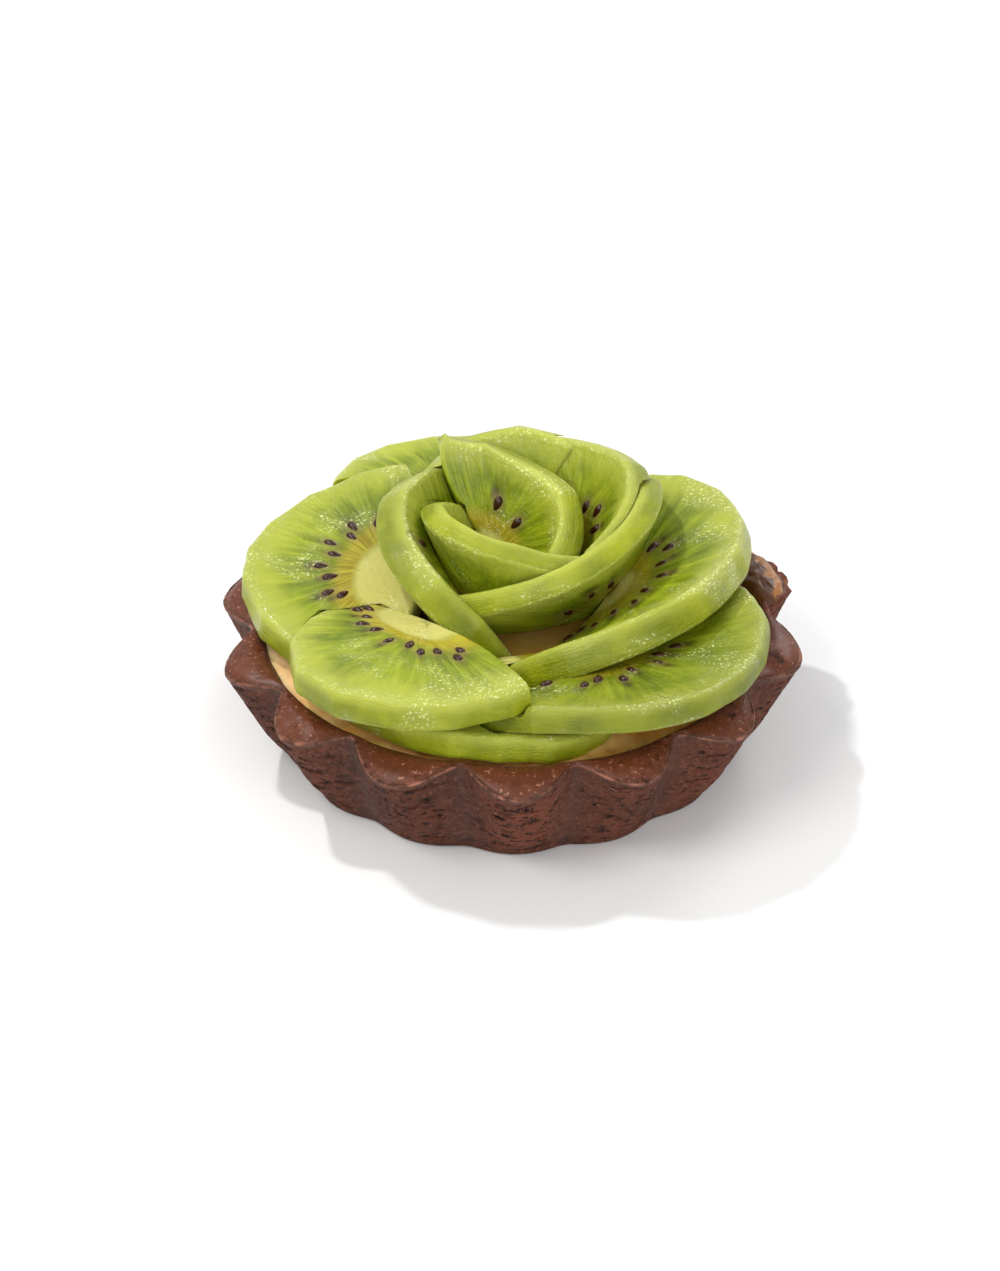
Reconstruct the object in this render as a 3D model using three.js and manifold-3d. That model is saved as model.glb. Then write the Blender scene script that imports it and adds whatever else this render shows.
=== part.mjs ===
// Fluted chocolate tartlet filled with praline cream and topped with a rose of kiwi slices.
// Millimetres, +Z up, the tart stands on z = 0 and the origin is the centre of its foot.
import * as THREE from 'three';
import Module from 'manifold-3d';

const wasm = await Module();
wasm.setup();

// ---- crust: a shortcrust shell baked in a fluted tin ----
const FLUTES = 14;
const RIM_LOBE_R = 43.3;
const RIM_VALLEY_R = 38.1;
const FOOT_LOBE_R = 35;
const FOOT_VALLEY_R = 33.7;
// The outer edge of the rim dips on the lobes and rises in the valleys.
const EDGE_LOBE_Z = 16.3;
const EDGE_VALLEY_Z = 17.8;
// The rim's highest line, and the plain round inner side of the shell: radius and height.
const CROWN_LOBE_R = 38.9;
const CROWN_VALLEY_R = 37.5;
const CROWN_Z = 18.2;
const INNER_ROWS = [[32, 4], [35.3, 13.8], [36.9, 17.5]];
const FLOOR_THICK = 4;
const FOOT_ROUND = 1.6;
// Lobes are round in plan with narrow valleys; the dip of the edge is gentler.
const LOBE_FULLNESS = 1;
const DIP_FULLNESS = 1.8;
const CRAG_DEPTH = 0.32;
const CRUMBLED_LOBE = 8;
const CRUMBLE_DEPTH = 0.55;
const COLUMNS_PER_FLUTE = 8;
// Angles of the valleys on the near side, degrees from the front, to the right positive.
const NEAR_VALLEYS = [-114, -84, -59.5, -35.8, -10.8, 13.3, 37.1, 61.8, 90.5, 120];

// ---- cream ----
const CREAM_TOP = 17.8;
const CREAM_SHOULDER_TOP = 16.5;
const CREAM_EDGE_TOP = 16.2;
const CREAM_BUMP = 0.45;
// The cream is heaped higher under the slices that lie high: angle from the front and rise.
const HEAP_ANGLE = -120;
const HEAP_RISE = 2.2;
// A smear of cream over the inner half of the crumbled lobe: angle from the front, reach, height, half sizes.
const SMEAR_AT = [105, 38.2, 17.4];
const SMEAR_HALF = [7.5, 3.4, 2];

// ---- general ----
const GAP = 0.3;
const DEEP_FOOT_Z = 15.5;
const HIGH_FOOT_Z = CREAM_TOP + GAP + 0.01;
const SKIN_ROUND = 0.45;
const SEED_LENGTH = 2.5;
const SEED_WIDTH = 1.35;
const SEED_RISE = 0.34;
const SEED_ROOT = 0.5;
const ROOTED_SHARE = 0.6;

// Each slice is half a peeled kiwi disc, bent on its way round the rose.
// at: middle of the cut edge; faces: heading of its outer face in degrees from the front;
// bend, bendGain: turning of that heading along the cut edge, rad/mm and rad/mm2;
// lean: degrees from upright towards the outside, with its change along the slice (leanAlong, leanEnds)
// and up the slice (leanUp); climb, sag: rise of the cut edge towards its right end and towards both ends;
// turn: rotation of the disc in its own face; lift: height of the disc centre over the cut edge line;
// radius, squash, lopside, cutBulge: outline of the half disc; thick: thickness of the slice.
const SLICES = [
  {
    name: 'kiwi_heart', at: [-1.9, -0.3, 17.1], faces: -29, bend: 0.102, bendGain: 0.0003,
    lean: 22, leanAlong: 1, leanEnds: 0, leanUp: -11, climb: -2.3, sag: 0.5, turn: -17.5, lift: 0,
    radius: 18.4, squash: 0.98, lopside: 0, cutBulge: 0.4, thick: 3.8, seeds: null,
  },
  {
    name: 'kiwi_inner_left', at: [-7.7, 9.4, 17.2], faces: -105, bend: 0.044, bendGain: 0,
    lean: 32, leanAlong: 0, leanEnds: -4, leanUp: 3, climb: 1.2, sag: -0.5, turn: -8, lift: 0,
    radius: 20.9, squash: 0.88, lopside: 0.17, cutBulge: 0, thick: 5.2,
    deepFoot: true, seeds: { side: -1, ring: [12, 14], at: 0, count: 11 },
  },
  {
    name: 'kiwi_inner_right', at: [10.6, 4.0, 15.2], faces: 41, bend: 0.055, bendGain: -0.0019,
    lean: 27, leanAlong: -27, leanEnds: -5, leanUp: -1, climb: 1.8, sag: -0.8, turn: 2.3, lift: -0.6,
    radius: 23.4, squash: 0.92, lopside: 0, cutBulge: 0, thick: 3.8,
    seeds: { side: 1, ring: [12.4, 13], at: 2, count: 15 },
  },
  {
    name: 'kiwi_inner_back', at: [-2.8, 12.1, 19.3], faces: 172.9, bend: 0.0427, bendGain: -0.0136,
    lean: 25.5, leanAlong: 15.3, leanEnds: 3.4, leanUp: -4.2, climb: 7, sag: 10.7, turn: 47.3, lift: 0.1,
    radius: 17.6, squash: 0.95, lopside: 0.02, cutBulge: 0, thick: 4.3,
    seeds: { side: -1, ring: [8.2, 7.7], at: 0.6, count: 6 },
  },
  {
    name: 'kiwi_middle_right', at: [9.2, 12.2, 18.9], faces: 125, bend: 0.088, bendGain: 0,
    lean: 31, leanAlong: 12, leanEnds: -1.5, leanUp: 0, climb: -2.1, sag: 1.2, turn: 38, lift: 1.2,
    radius: 18.5, squash: 0.94, lopside: -0.03, cutBulge: 0, thick: 4.5,
    seeds: { side: -1, ring: [8, 7.6], at: 0, count: 9 },
  },
  {
    name: 'kiwi_middle_back', at: [0.6, 16.8, 17.1], faces: 179, bend: 0.034, bendGain: 0,
    lean: 27, leanAlong: 0, leanEnds: 0, leanUp: 0, climb: -0.2, sag: 0, turn: -1, lift: 0,
    radius: 17.8, squash: 1.12, lopside: -0.03, cutBulge: 0.5, thick: 4.5,
    seeds: { side: 1, ring: [8, 8.2], at: 0, count: 9 },
  },
  {
    name: 'kiwi_outer_right', at: [14.2, 1.2, 18.3], faces: 72, bend: 0.0334, bendGain: -0.0008,
    lean: 62, leanAlong: 22, leanEnds: 0.4, leanUp: 0.6, climb: 5.5, sag: 1.7, turn: 7, lift: 0.5,
    radius: 23.5, squash: 0.91, lopside: 0, cutBulge: 0, thick: 5.1,
    deepFoot: true, seeds: { side: -1, ring: [9.8, 9.4], at: 0, count: 12 },
  },
  {
    name: 'kiwi_base_front_left', at: [-13.2, -14.8, 23.2], faces: -48.8, bend: 0, bendGain: -0.0002,
    lean: 85.2, leanAlong: 4.7, leanEnds: -0.3, leanUp: -1.2, climb: 5.2, sag: -1.1, turn: 1.5, lift: 0,
    radius: 21, squash: 1.02, lopside: 0.22, cutBulge: 3.4, thick: 4.7,
    deepFoot: true, seeds: { side: -1, ring: [11.8, 5.4], at: 0.5, count: 11 },
  },
  {
    name: 'kiwi_base_left', at: [-18, 3.2, 21.7], faces: -95.1, bend: -0.0014, bendGain: 0,
    lean: 92.1, leanAlong: -8, leanEnds: -1, leanUp: -7.9, climb: -4.1, sag: 0.4, turn: 2, lift: 0,
    radius: 23.6, squash: 0.93, lopside: 0, cutBulge: 6.2, thick: 4.9,
    deepFoot: true, seeds: { side: -1, ring: [10, 9.2], at: -0.6, count: 12 },
  },
  {
    name: 'kiwi_base_right', at: [13.3, -15.8, 19.8], faces: 44, bend: 0.0073, bendGain: 0.0003,
    lean: 78.5, leanAlong: 7.4, leanEnds: -7.6, leanUp: -1, climb: 0, sag: 2.2, turn: 0, lift: 0,
    radius: 24.4, squash: 0.9, lopside: 0, cutBulge: 0, thick: 3.9,
    deepFoot: true, seeds: { side: -1, ring: [10.4, 8.6], at: -0.5, count: 12 },
  },
  {
    name: 'kiwi_base_back_left', at: [-7.5, 17.7, 23.8], faces: -134, bend: -0.011, bendGain: 0,
    lean: 89.5, leanAlong: -1, leanEnds: 0, leanUp: 5.6, climb: 0.8, sag: 0.3, turn: -4, lift: 0,
    radius: 22.1, squash: 1.01, lopside: -0.06, cutBulge: 0.4, thick: 4.6,
    deepFoot: true, seeds: { side: -1, ring: [10, 9], at: 0, count: 11 },
  },
  {
    name: 'kiwi_base_back_right', at: [7.5, 18, 18.9], faces: 158, bend: 0.004, bendGain: 0,
    lean: 88, leanAlong: 0, leanEnds: 4, leanUp: 8, climb: 0, sag: 0, turn: 0, lift: 0,
    radius: 22, squash: 0.84, lopside: 0, cutBulge: 0, thick: 4.5,
    deepFoot: true, seeds: { side: -1, ring: [10, 8.5], at: 0, count: 11 },
  },
  {
    name: 'kiwi_base_front', at: [-3.7, -14.0, 18], faces: 23, bend: -0.009, bendGain: 0,
    lean: 92, leanAlong: 9, leanEnds: 3.5, leanUp: -8, climb: -1.5, sag: -1.2, turn: 2.5, lift: 0,
    radius: 23, squash: 1.02, lopside: 0, cutBulge: 0.5, thick: 4.3, deepFoot: true, seeds: null,
  },
];
// Where two slices meet, the one listed first keeps its form, but for these pairs.
const YIELDS = [['kiwi_inner_left', 'kiwi_inner_back']];

const TAU = 2 * Math.PI;
const rad = (degrees) => (degrees * Math.PI) / 180;

// Seeded draws, so that every build gives the same tart.
function randomFrom(seed) {
  let state = seed;
  return () => {
    state = (state * 1664525 + 1013904223) % 4294967296;
    return state / 4294967296;
  };
}

function toManifold(positions, triangles) {
  const mesh = new wasm.Mesh({
    numProp: 3,
    vertProperties: new Float32Array(positions.flat()),
    triVerts: new Uint32Array(triangles.flat()),
  });
  const solid = new wasm.Manifold(mesh);
  return solid.volume() < 0 ? toManifold(positions, triangles.map(([a, b, c]) => [a, c, b])) : solid;
}

function largestPiece(solid) {
  const pieces = solid.decompose();
  return pieces.reduce((best, piece) => (piece.volume() > best.volume() ? piece : best), pieces[0]);
}

function boxSolid(low, high) {
  const corners = [];
  for (const z of [low[2], high[2]]) {
    corners.push([low[0], low[1], z], [high[0], low[1], z], [high[0], high[1], z], [low[0], high[1], z]);
  }
  const sides = [[0, 1, 5], [0, 5, 4], [1, 2, 6], [1, 6, 5], [2, 3, 7], [2, 7, 6], [3, 0, 4], [3, 4, 7]];
  return toManifold(corners, [[0, 2, 1], [0, 3, 2], [4, 5, 6], [4, 6, 7], ...sides]);
}

// ---- kiwi slices ----
const PATH_HALF = 40;
const PATH_STEPS = 320;

// The line that the cut edge follows in plan, and its heading, as functions of the distance u along it.
function cutPath(slice) {
  const step = (2 * PATH_HALF) / PATH_STEPS;
  const heading = (u) => rad(slice.faces) + slice.bend * u + 0.5 * slice.bendGain * u * u;
  const points = [[0, 0]];
  for (let i = 0; i < PATH_STEPS; i += 1) {
    const u = -PATH_HALF + i * step;
    const [x, y] = points[i];
    const turnX = (Math.cos(heading(u)) + Math.cos(heading(u + step))) / 2;
    const turnY = (Math.sin(heading(u)) + Math.sin(heading(u + step))) / 2;
    points.push([x + turnX * step, y + turnY * step]);
  }
  const middle = points[PATH_STEPS / 2];
  return (u) => {
    const f = (u + PATH_HALF) / step;
    const i = Math.min(PATH_STEPS - 1, Math.max(0, Math.floor(f)));
    const k = f - i;
    const x = points[i][0] * (1 - k) + points[i + 1][0] * k - middle[0];
    const y = points[i][1] * (1 - k) + points[i + 1][1] * k - middle[1];
    return { x: slice.at[0] + x, y: slice.at[1] + y, h: heading(u) };
  };
}

const LEAN_SPAN = 25;

// Middle surface of a bent slice: u runs along the cut edge, v up the slice.
function middleSurface(slice) {
  const path = cutPath(slice);
  return (u, v) => {
    const { x, y, h } = path(u);
    const s = u / LEAN_SPAN;
    const lean = rad(slice.lean + slice.leanAlong * s + slice.leanEnds * s * s);
    const rate = rad(Math.abs(slice.leanUp) < 0.01 ? 0.01 : slice.leanUp) / LEAN_SPAN;
    const out = (Math.cos(lean) - Math.cos(lean + rate * v)) / rate;
    const up = (Math.sin(lean + rate * v) - Math.sin(lean)) / rate;
    const z = slice.at[2] + slice.climb * s + slice.sag * s * s + up;
    return new THREE.Vector3(x + out * Math.sin(h), y - out * Math.cos(h), z);
  };
}

// The point of a face over the disc coordinates p along the cut and q across it, side from -1 to 1.
function facePoint(slice, extra = 0) {
  const surface = middleSurface(slice);
  const half = slice.thick / 2 + extra;
  const turn = rad(slice.turn);
  return (p, q, side) => {
    const u = p * Math.cos(turn) - q * Math.sin(turn);
    const v = p * Math.sin(turn) + q * Math.cos(turn) + slice.lift;
    const e = 0.01;
    const alongU = surface(u + e, v).sub(surface(u - e, v));
    const alongV = surface(u, v + e).sub(surface(u, v - e));
    const normal = alongU.clone().cross(alongV).normalize();
    return { at: surface(u, v).addScaledVector(normal, side * half), normal, alongU };
  };
}

// A point of the slice: share of the radius, angle from the right end of the cut, side from -1 to 1.
function slicePoint(slice, extra = 0) {
  const onFace = facePoint(slice, extra);
  return (share, angle, side, inset = 0) => {
    const reach = (slice.radius + extra) * (1 + slice.lopside * Math.cos(angle)) - inset * share;
    const fading = (1 - (share * Math.cos(angle)) ** 2) * (1 - share * Math.sin(angle));
    const bulge = (slice.cutBulge + extra) * fading;
    const p = share * reach * Math.cos(angle);
    const q = share * reach * slice.squash * Math.sin(angle) - bulge;
    return onFace(p, q, side).at;
  };
}

const BENT_RINGS = [0.42, 0.78, 1];
const FLAT_RINGS = [0.55, 1];
const FLAT_BELOW_BEND = 0.02;
const ARC_STEPS = 16;
const SKIN_ROWS = [[-1, SKIN_ROUND], [-0.62, 0], [0.62, 0], [1, SKIN_ROUND]];

function sliceSolid(slice, extra = 0) {
  const shares = Math.abs(slice.bend) < FLAT_BELOW_BEND ? FLAT_RINGS : BENT_RINGS;
  const point = slicePoint(slice, extra);
  const positions = [];
  const triangles = [];
  const add = (share, angle, side, inset) => positions.push(point(share, angle, side, inset).toArray()) - 1;
  const rows = SKIN_ROWS.map(([side, inset], row) => {
    const centre = add(0, 0, side, 0);
    const rings = shares.map((share, ring) => {
      const outermost = ring === shares.length - 1;
      const wanted = outermost || row === 0 || row === SKIN_ROWS.length - 1;
      const line = [];
      for (let j = 0; j <= ARC_STEPS; j += 1) {
        const onCut = j === 0 || j === ARC_STEPS;
        line.push(wanted || onCut ? add(share, (Math.PI * j) / ARC_STEPS, side, inset) : -1);
      }
      return line;
    });
    return { centre, rings };
  });
  const quad = (a, b, c, d) => triangles.push([a, b, c], [a, c, d]);
  const last = shares.length - 1;
  for (const [row, flip] of [[0, false], [rows.length - 1, true]]) {
    const { centre, rings } = rows[row];
    for (let j = 0; j < ARC_STEPS; j += 1) {
      triangles.push(flip ? [centre, rings[0][j], rings[0][j + 1]] : [centre, rings[0][j + 1], rings[0][j]]);
      for (let k = 0; k < last; k += 1) {
        const corners = [rings[k][j], rings[k][j + 1], rings[k + 1][j + 1], rings[k + 1][j]];
        quad(...(flip ? corners.reverse() : corners));
      }
    }
  }
  for (let row = 0; row + 1 < rows.length; row += 1) {
    const low = rows[row];
    const high = rows[row + 1];
    for (let j = 0; j < ARC_STEPS; j += 1) {
      quad(low.rings[last][j], low.rings[last][j + 1], high.rings[last][j + 1], high.rings[last][j]);
    }
    const edge = (r) => [
      ...r.rings.map((line) => line[0]).reverse(), r.centre, ...r.rings.map((line) => line[ARC_STEPS])];
    const a = edge(low);
    const b = edge(high);
    for (let i = 0; i + 1 < a.length; i += 1) quad(a[i + 1], a[i], b[i], b[i + 1]);
  }
  return toManifold(positions, triangles);
}

const SEED_SIDES = 6;

// One seed: a low pointed oval, long towards the core, standing a little out of the face.
// extra: room round the seed.
function seedSolid(centre, normal, long, wide, extra = 0) {
  const ring = (share, height) => {
    const line = [];
    for (let i = 0; i < SEED_SIDES; i += 1) {
      const a = (TAU * i) / SEED_SIDES;
      const taper = 1 - 0.28 * Math.cos(a);
      const point = centre.clone().addScaledVector(normal, height);
      point.addScaledVector(long, (share * SEED_LENGTH / 2 + extra) * Math.cos(a));
      point.addScaledVector(wide, (share * taper * SEED_WIDTH / 2 + extra) * Math.sin(a));
      line.push(point.toArray());
    }
    return line;
  };
  const apex = centre.clone().addScaledVector(normal, SEED_RISE + extra).toArray();
  const positions = [...ring(1, -SEED_ROOT), ...ring(0.82, SEED_RISE * 0.55 + extra), apex];
  const triangles = [];
  for (let i = 0; i < SEED_SIDES; i += 1) {
    const n = (i + 1) % SEED_SIDES;
    triangles.push([i, n, SEED_SIDES + n], [i, SEED_SIDES + n, SEED_SIDES + i]);
    triangles.push([SEED_SIDES + i, SEED_SIDES + n, 2 * SEED_SIDES]);
    if (i > 1) triangles.push([0, i, i - 1]);
  }
  return toManifold(positions, triangles);
}

// Seeds stand in a ring round the core, alternately a little nearer and farther.
function seedPlaces(slice, index) {
  const { side, ring, at, count } = slice.seeds;
  const draw = randomFrom(977 + 131 * index);
  const onFace = facePoint(slice);
  const places = [];
  for (let i = 0; i < count; i += 1) {
    const angle = (Math.PI * (i + 0.5 + 0.5 * (draw() - 0.5))) / count;
    const away = 1 + (i % 2 ? 0.09 : -0.07) + 0.08 * (draw() - 0.5);
    const p = at + ring[0] * away * Math.cos(angle);
    const q = ring[1] * away * Math.sin(angle);
    places.push({ ...onFace(p, q, side), p: p - at, q, side });
  }
  return places;
}

function seedsOn(slice, index, extra = 0) {
  return seedPlaces(slice, index).map(({ at, normal, alongU, p, q, side }) => {
    const out = normal.clone().multiplyScalar(side);
    const first = alongU.clone().normalize();
    const second = normal.clone().cross(first).normalize();
    const direction = Math.atan2(q, p) + rad(slice.turn);
    const long = first.clone().multiplyScalar(Math.cos(direction));
    long.addScaledVector(second, Math.sin(direction));
    const wide = out.clone().cross(long);
    return seedSolid(at, out, long, wide, extra);
  });
}

// ---- crust ----
function valleyAngles() {
  const near = NEAR_VALLEYS.map((a) => a - 90);
  const last = near[near.length - 1];
  const open = 360 - (last - near[0]);
  const far = FLUTES - near.length;
  for (let i = 1; i <= far; i += 1) near.push(last + (open * i) / (far + 1));
  near.push(near[0] + 360);
  return near.map(rad);
}

// Upright columns round the shell, so many to each flute: lobe is 0 in a valley of the wall and 1 on the
// crest of a lobe, dip the same for the height of the rim's edge.
function flutedColumns(perFlute) {
  const valleys = valleyAngles();
  const columns = [];
  for (let f = 0; f < FLUTES; f += 1) {
    for (let c = 0; c < perFlute; c += 1) {
      const share = c / perFlute;
      const angle = valleys[f] * (1 - share) + valleys[f + 1] * share;
      const wave = Math.sin(Math.PI * share);
      columns.push({ angle, lobe: wave ** LOBE_FULLNESS, dip: wave ** DIP_FULLNESS });
    }
  }
  return columns;
}

const mix = (a, b, t) => a + (b - a) * t;
const foot = (lobe) => mix(FOOT_VALLEY_R, FOOT_LOBE_R, lobe);
const rim = (lobe) => mix(RIM_VALLEY_R, RIM_LOBE_R, lobe);
const edgeZ = (dip) => mix(EDGE_VALLEY_Z, EDGE_LOBE_Z, dip);
const crown = (lobe) => mix(CROWN_VALLEY_R, CROWN_LOBE_R, lobe);
const wall = (lobe, t) => mix(foot(lobe), rim(lobe), t ** 0.92);

function innerWall(z) {
  const k = z > INNER_ROWS[1][1] ? 1 : 0;
  const [low, high] = [INNER_ROWS[k], INNER_ROWS[k + 1]];
  return mix(low[0], high[0], (z - low[1]) / (high[1] - low[1]));
}

function crustSolid(extra = 0) {
  const draw = randomFrom(41);
  const columns = flutedColumns(COLUMNS_PER_FLUTE);
  const crag = () => CRAG_DEPTH * 2 * (draw() - 0.5);
  const crumble = (i) => {
    const amount = CRUMBLE_DEPTH * 2 * (draw() - 0.5);
    return Math.floor(i / COLUMNS_PER_FLUTE) === CRUMBLED_LOBE ? amount : 0;
  };
  const positions = [];
  const lines = [];
  const ringOf = (shape) => {
    const line = columns.map(({ angle, lobe, dip }, i) => {
      const [r, z] = shape(lobe, dip, i);
      return positions.push([r * Math.cos(angle), r * Math.sin(angle), z]) - 1;
    });
    lines.push(line);
  };
  const under = positions.push([0, 0, -extra]) - 1;
  ringOf((lobe) => [foot(lobe) - FOOT_ROUND + extra, -extra]);
  ringOf((lobe) => [foot(lobe) + extra, FOOT_ROUND * 0.8]);
  for (const t of [0.3, 0.54, 0.78]) {
    ringOf((lobe, dip) => [wall(lobe, t) + extra + crag(), edgeZ(dip) * t + crag()]);
  }
  ringOf((lobe, dip, i) => [rim(lobe) + extra + crumble(i), edgeZ(dip)]);
  for (const [inward, up] of [[0.14, 0.34], [0.5, 0.78]]) {
    ringOf((lobe, dip, i) => [
      mix(rim(lobe), crown(lobe), inward) + extra * 0.6 + crumble(i),
      mix(edgeZ(dip), CROWN_Z, up) + extra * 0.8 + crumble(i),
    ]);
  }
  ringOf((lobe) => [crown(lobe), CROWN_Z + extra]);
  const lifts = [extra, 0, extra * 0.5];
  for (const row of [2, 1, 0]) {
    ringOf(() => [INNER_ROWS[row][0] - extra, INNER_ROWS[row][1] + lifts[row]]);
  }
  const floor = positions.push([0, 0, FLOOR_THICK + extra]) - 1;
  const triangles = [];
  const n = columns.length;
  for (let i = 0; i < n; i += 1) {
    const j = (i + 1) % n;
    triangles.push([under, lines[0][j], lines[0][i]]);
    for (let k = 0; k + 1 < lines.length; k += 1) {
      const [low, high] = [lines[k], lines[k + 1]];
      triangles.push([low[i], low[j], high[j]], [low[i], high[j], high[i]]);
    }
    triangles.push([floor, lines[lines.length - 1][i], lines[lines.length - 1][j]]);
  }
  return toManifold(positions, triangles);
}

// ---- cream ----
const CREAM_COLUMNS_PER_FLUTE = 3;
const CREAM_REACH = 36;
const CREAM_CLEAR = GAP * 1.3;
// Rings of the cream's surface: share of the reach, height, share of the heap, share of the bumps.
const CREAM_RINGS = [
  [0.5, CREAM_TOP, 0, 0],
  [0.72, CREAM_SHOULDER_TOP, 1, 0.2],
  [0.87, (CREAM_SHOULDER_TOP + CREAM_EDGE_TOP) / 2 - 0.3, 0.7, 1],
];

function creamSolid() {
  const draw = randomFrom(7);
  const columns = flutedColumns(CREAM_COLUMNS_PER_FLUTE);
  const positions = [];
  const ringOf = (shape) => columns.map(({ angle }) => {
    const [r, z] = shape(angle);
    return positions.push([r * Math.cos(angle), r * Math.sin(angle), z]) - 1;
  });
  const top = positions.push([0, 0, CREAM_TOP]) - 1;
  const lines = CREAM_RINGS.map(([share, height, heap, bumps]) => ringOf((angle) => {
    const towardsHeap = Math.max(0, Math.cos(angle - rad(HEAP_ANGLE - 90)));
    const z = height + HEAP_RISE * heap * towardsHeap ** 1.5 + CREAM_BUMP * bumps * 2 * (draw() - 0.5);
    return [CREAM_REACH * share, z];
  }));
  lines.push(ringOf(() => {
    const z = CREAM_EDGE_TOP + CREAM_BUMP * 2 * (draw() - 0.5);
    return [innerWall(z) - CREAM_CLEAR, z];
  }));
  for (const z of [INNER_ROWS[1][1], FLOOR_THICK + GAP]) {
    lines.push(ringOf(() => [innerWall(z) - CREAM_CLEAR, z]));
  }
  const under = positions.push([0, 0, FLOOR_THICK + GAP]) - 1;
  const low = lines[lines.length - 1];
  const triangles = [];
  for (let i = 0; i < columns.length; i += 1) {
    const j = (i + 1) % columns.length;
    triangles.push([top, lines[0][i], lines[0][j]]);
    for (let k = 0; k + 1 < lines.length; k += 1) {
      const [upper, lower] = [lines[k], lines[k + 1]];
      triangles.push([upper[i], lower[i], lower[j]], [upper[i], lower[j], upper[j]]);
    }
    triangles.push([under, low[j], low[i]]);
  }
  return toManifold(positions, triangles);
}

const SMEAR_COLUMNS = 12;
const SMEAR_ROWS = 5;

// A low round heap that joins the cream to the top of the rim.
function smearSolid() {
  const draw = randomFrom(19);
  const heading = rad(SMEAR_AT[0] - 90);
  const outward = new THREE.Vector3(Math.cos(heading), Math.sin(heading), 0);
  const sideways = new THREE.Vector3(-Math.sin(heading), Math.cos(heading), 0);
  const centre = outward.clone().multiplyScalar(SMEAR_AT[1]).setZ(SMEAR_AT[2]);
  const positions = [centre.clone().setZ(SMEAR_AT[2] - SMEAR_HALF[2]).toArray()];
  for (let row = 1; row < SMEAR_ROWS; row += 1) {
    const up = (Math.PI * row) / SMEAR_ROWS;
    for (let i = 0; i < SMEAR_COLUMNS; i += 1) {
      const a = (TAU * i) / SMEAR_COLUMNS;
      const reach = Math.sin(up) * (1 + 0.24 * (draw() - 0.5));
      const point = centre.clone().addScaledVector(sideways, SMEAR_HALF[0] * reach * Math.cos(a));
      point.addScaledVector(outward, SMEAR_HALF[1] * reach * Math.sin(a));
      point.z -= SMEAR_HALF[2] * Math.cos(up);
      positions.push(point.toArray());
    }
  }
  positions.push(centre.clone().setZ(SMEAR_AT[2] + SMEAR_HALF[2]).toArray());
  const top = positions.length - 1;
  const lastRow = 1 + (SMEAR_ROWS - 2) * SMEAR_COLUMNS;
  const triangles = [];
  for (let i = 0; i < SMEAR_COLUMNS; i += 1) {
    const j = (i + 1) % SMEAR_COLUMNS;
    triangles.push([0, 1 + j, 1 + i], [top, lastRow + i, lastRow + j]);
    for (let row = 0; row + 2 < SMEAR_ROWS; row += 1) {
      const low = 1 + row * SMEAR_COLUMNS;
      const high = low + SMEAR_COLUMNS;
      triangles.push([low + i, low + j, high + j], [low + i, high + j, high + i]);
    }
  }
  return toManifold(positions, triangles);
}

// ---- the tart ----
const crust = crustSolid();
const crustGrown = crustSolid(GAP);
const aboveFoot = (z) => boxSolid([-60, -60, z], [60, 60, 60]);
const footOf = (slice) => (slice.deepFoot ? DEEP_FOOT_Z : HIGH_FOOT_Z);
const whole = SLICES.map((slice) => sliceSolid(slice).intersect(aboveFoot(footOf(slice))));
const grown = SLICES.map((slice) => sliceSolid(slice, GAP).intersect(aboveFoot(footOf(slice) - GAP)));

function keepsForm(i, j) {
  const named = (k, name) => SLICES[k].name === name;
  const pair = (a, b) => YIELDS.some(([loser, winner]) => named(a, loser) && named(b, winner));
  if (pair(j, i)) return true;
  if (pair(i, j)) return false;
  return i < j;
}

const group = new THREE.Group();

function addNode(name, solid, colour, roughness) {
  const mesh = solid.getMesh();
  const geometry = new THREE.BufferGeometry();
  geometry.setAttribute('position', new THREE.BufferAttribute(mesh.vertProperties, 3));
  geometry.setIndex(new THREE.BufferAttribute(mesh.triVerts, 1));
  const material = new THREE.MeshStandardMaterial({ color: colour, roughness, metalness: 0 });
  material.name = name;
  const node = new THREE.Mesh(geometry, material);
  node.name = name;
  group.add(node);
}

addNode('crust', crust, 0x4a2a20, 0.75);

const trimmed = SLICES.map((slice, i) => {
  let solid = whole[i].subtract(crustGrown);
  SLICES.forEach((other, j) => {
    if (j !== i && !keepsForm(i, j)) solid = solid.subtract(grown[j]);
  });
  return largestPiece(solid);
});

let cream = creamSolid().add(smearSolid().subtract(crustGrown));
for (const solid of grown) cream = cream.subtract(solid);
cream = largestPiece(cream);
addNode('cream', cream, 0xb98a5e, 0.4);

// A seed is left out where a neighbour lies on it, or where the flesh under it is cut away.
SLICES.forEach((slice, i) => {
  let solid = trimmed[i];
  const others = [crust, cream, ...trimmed.filter((other, j) => j !== i)];
  const rooms = slice.seeds ? seedsOn(slice, i, GAP) : [];
  const seeds = slice.seeds ? seedsOn(slice, i) : [];
  seeds.forEach((seed, k) => {
    const rooted = seed.intersect(trimmed[i]).volume() > ROOTED_SHARE * seed.volume();
    const free = others.every((other) => rooms[k].intersect(other).isEmpty());
    if (rooted && free) solid = solid.add(seed);
  });
  addNode(slice.name, largestPiece(solid), 0x9dbb3c, 0.25);
});

export default group;
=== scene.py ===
"""Looks of the kiwi tartlet: a fluted chocolate shell, praline cream and a rose of kiwi slices.

Every piece but the smear of cream shows solids of the CAD model more finely. The tart's sizes are in mm,
meshes, lights and materials in metres.
"""
import math
from dataclasses import dataclass

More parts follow.
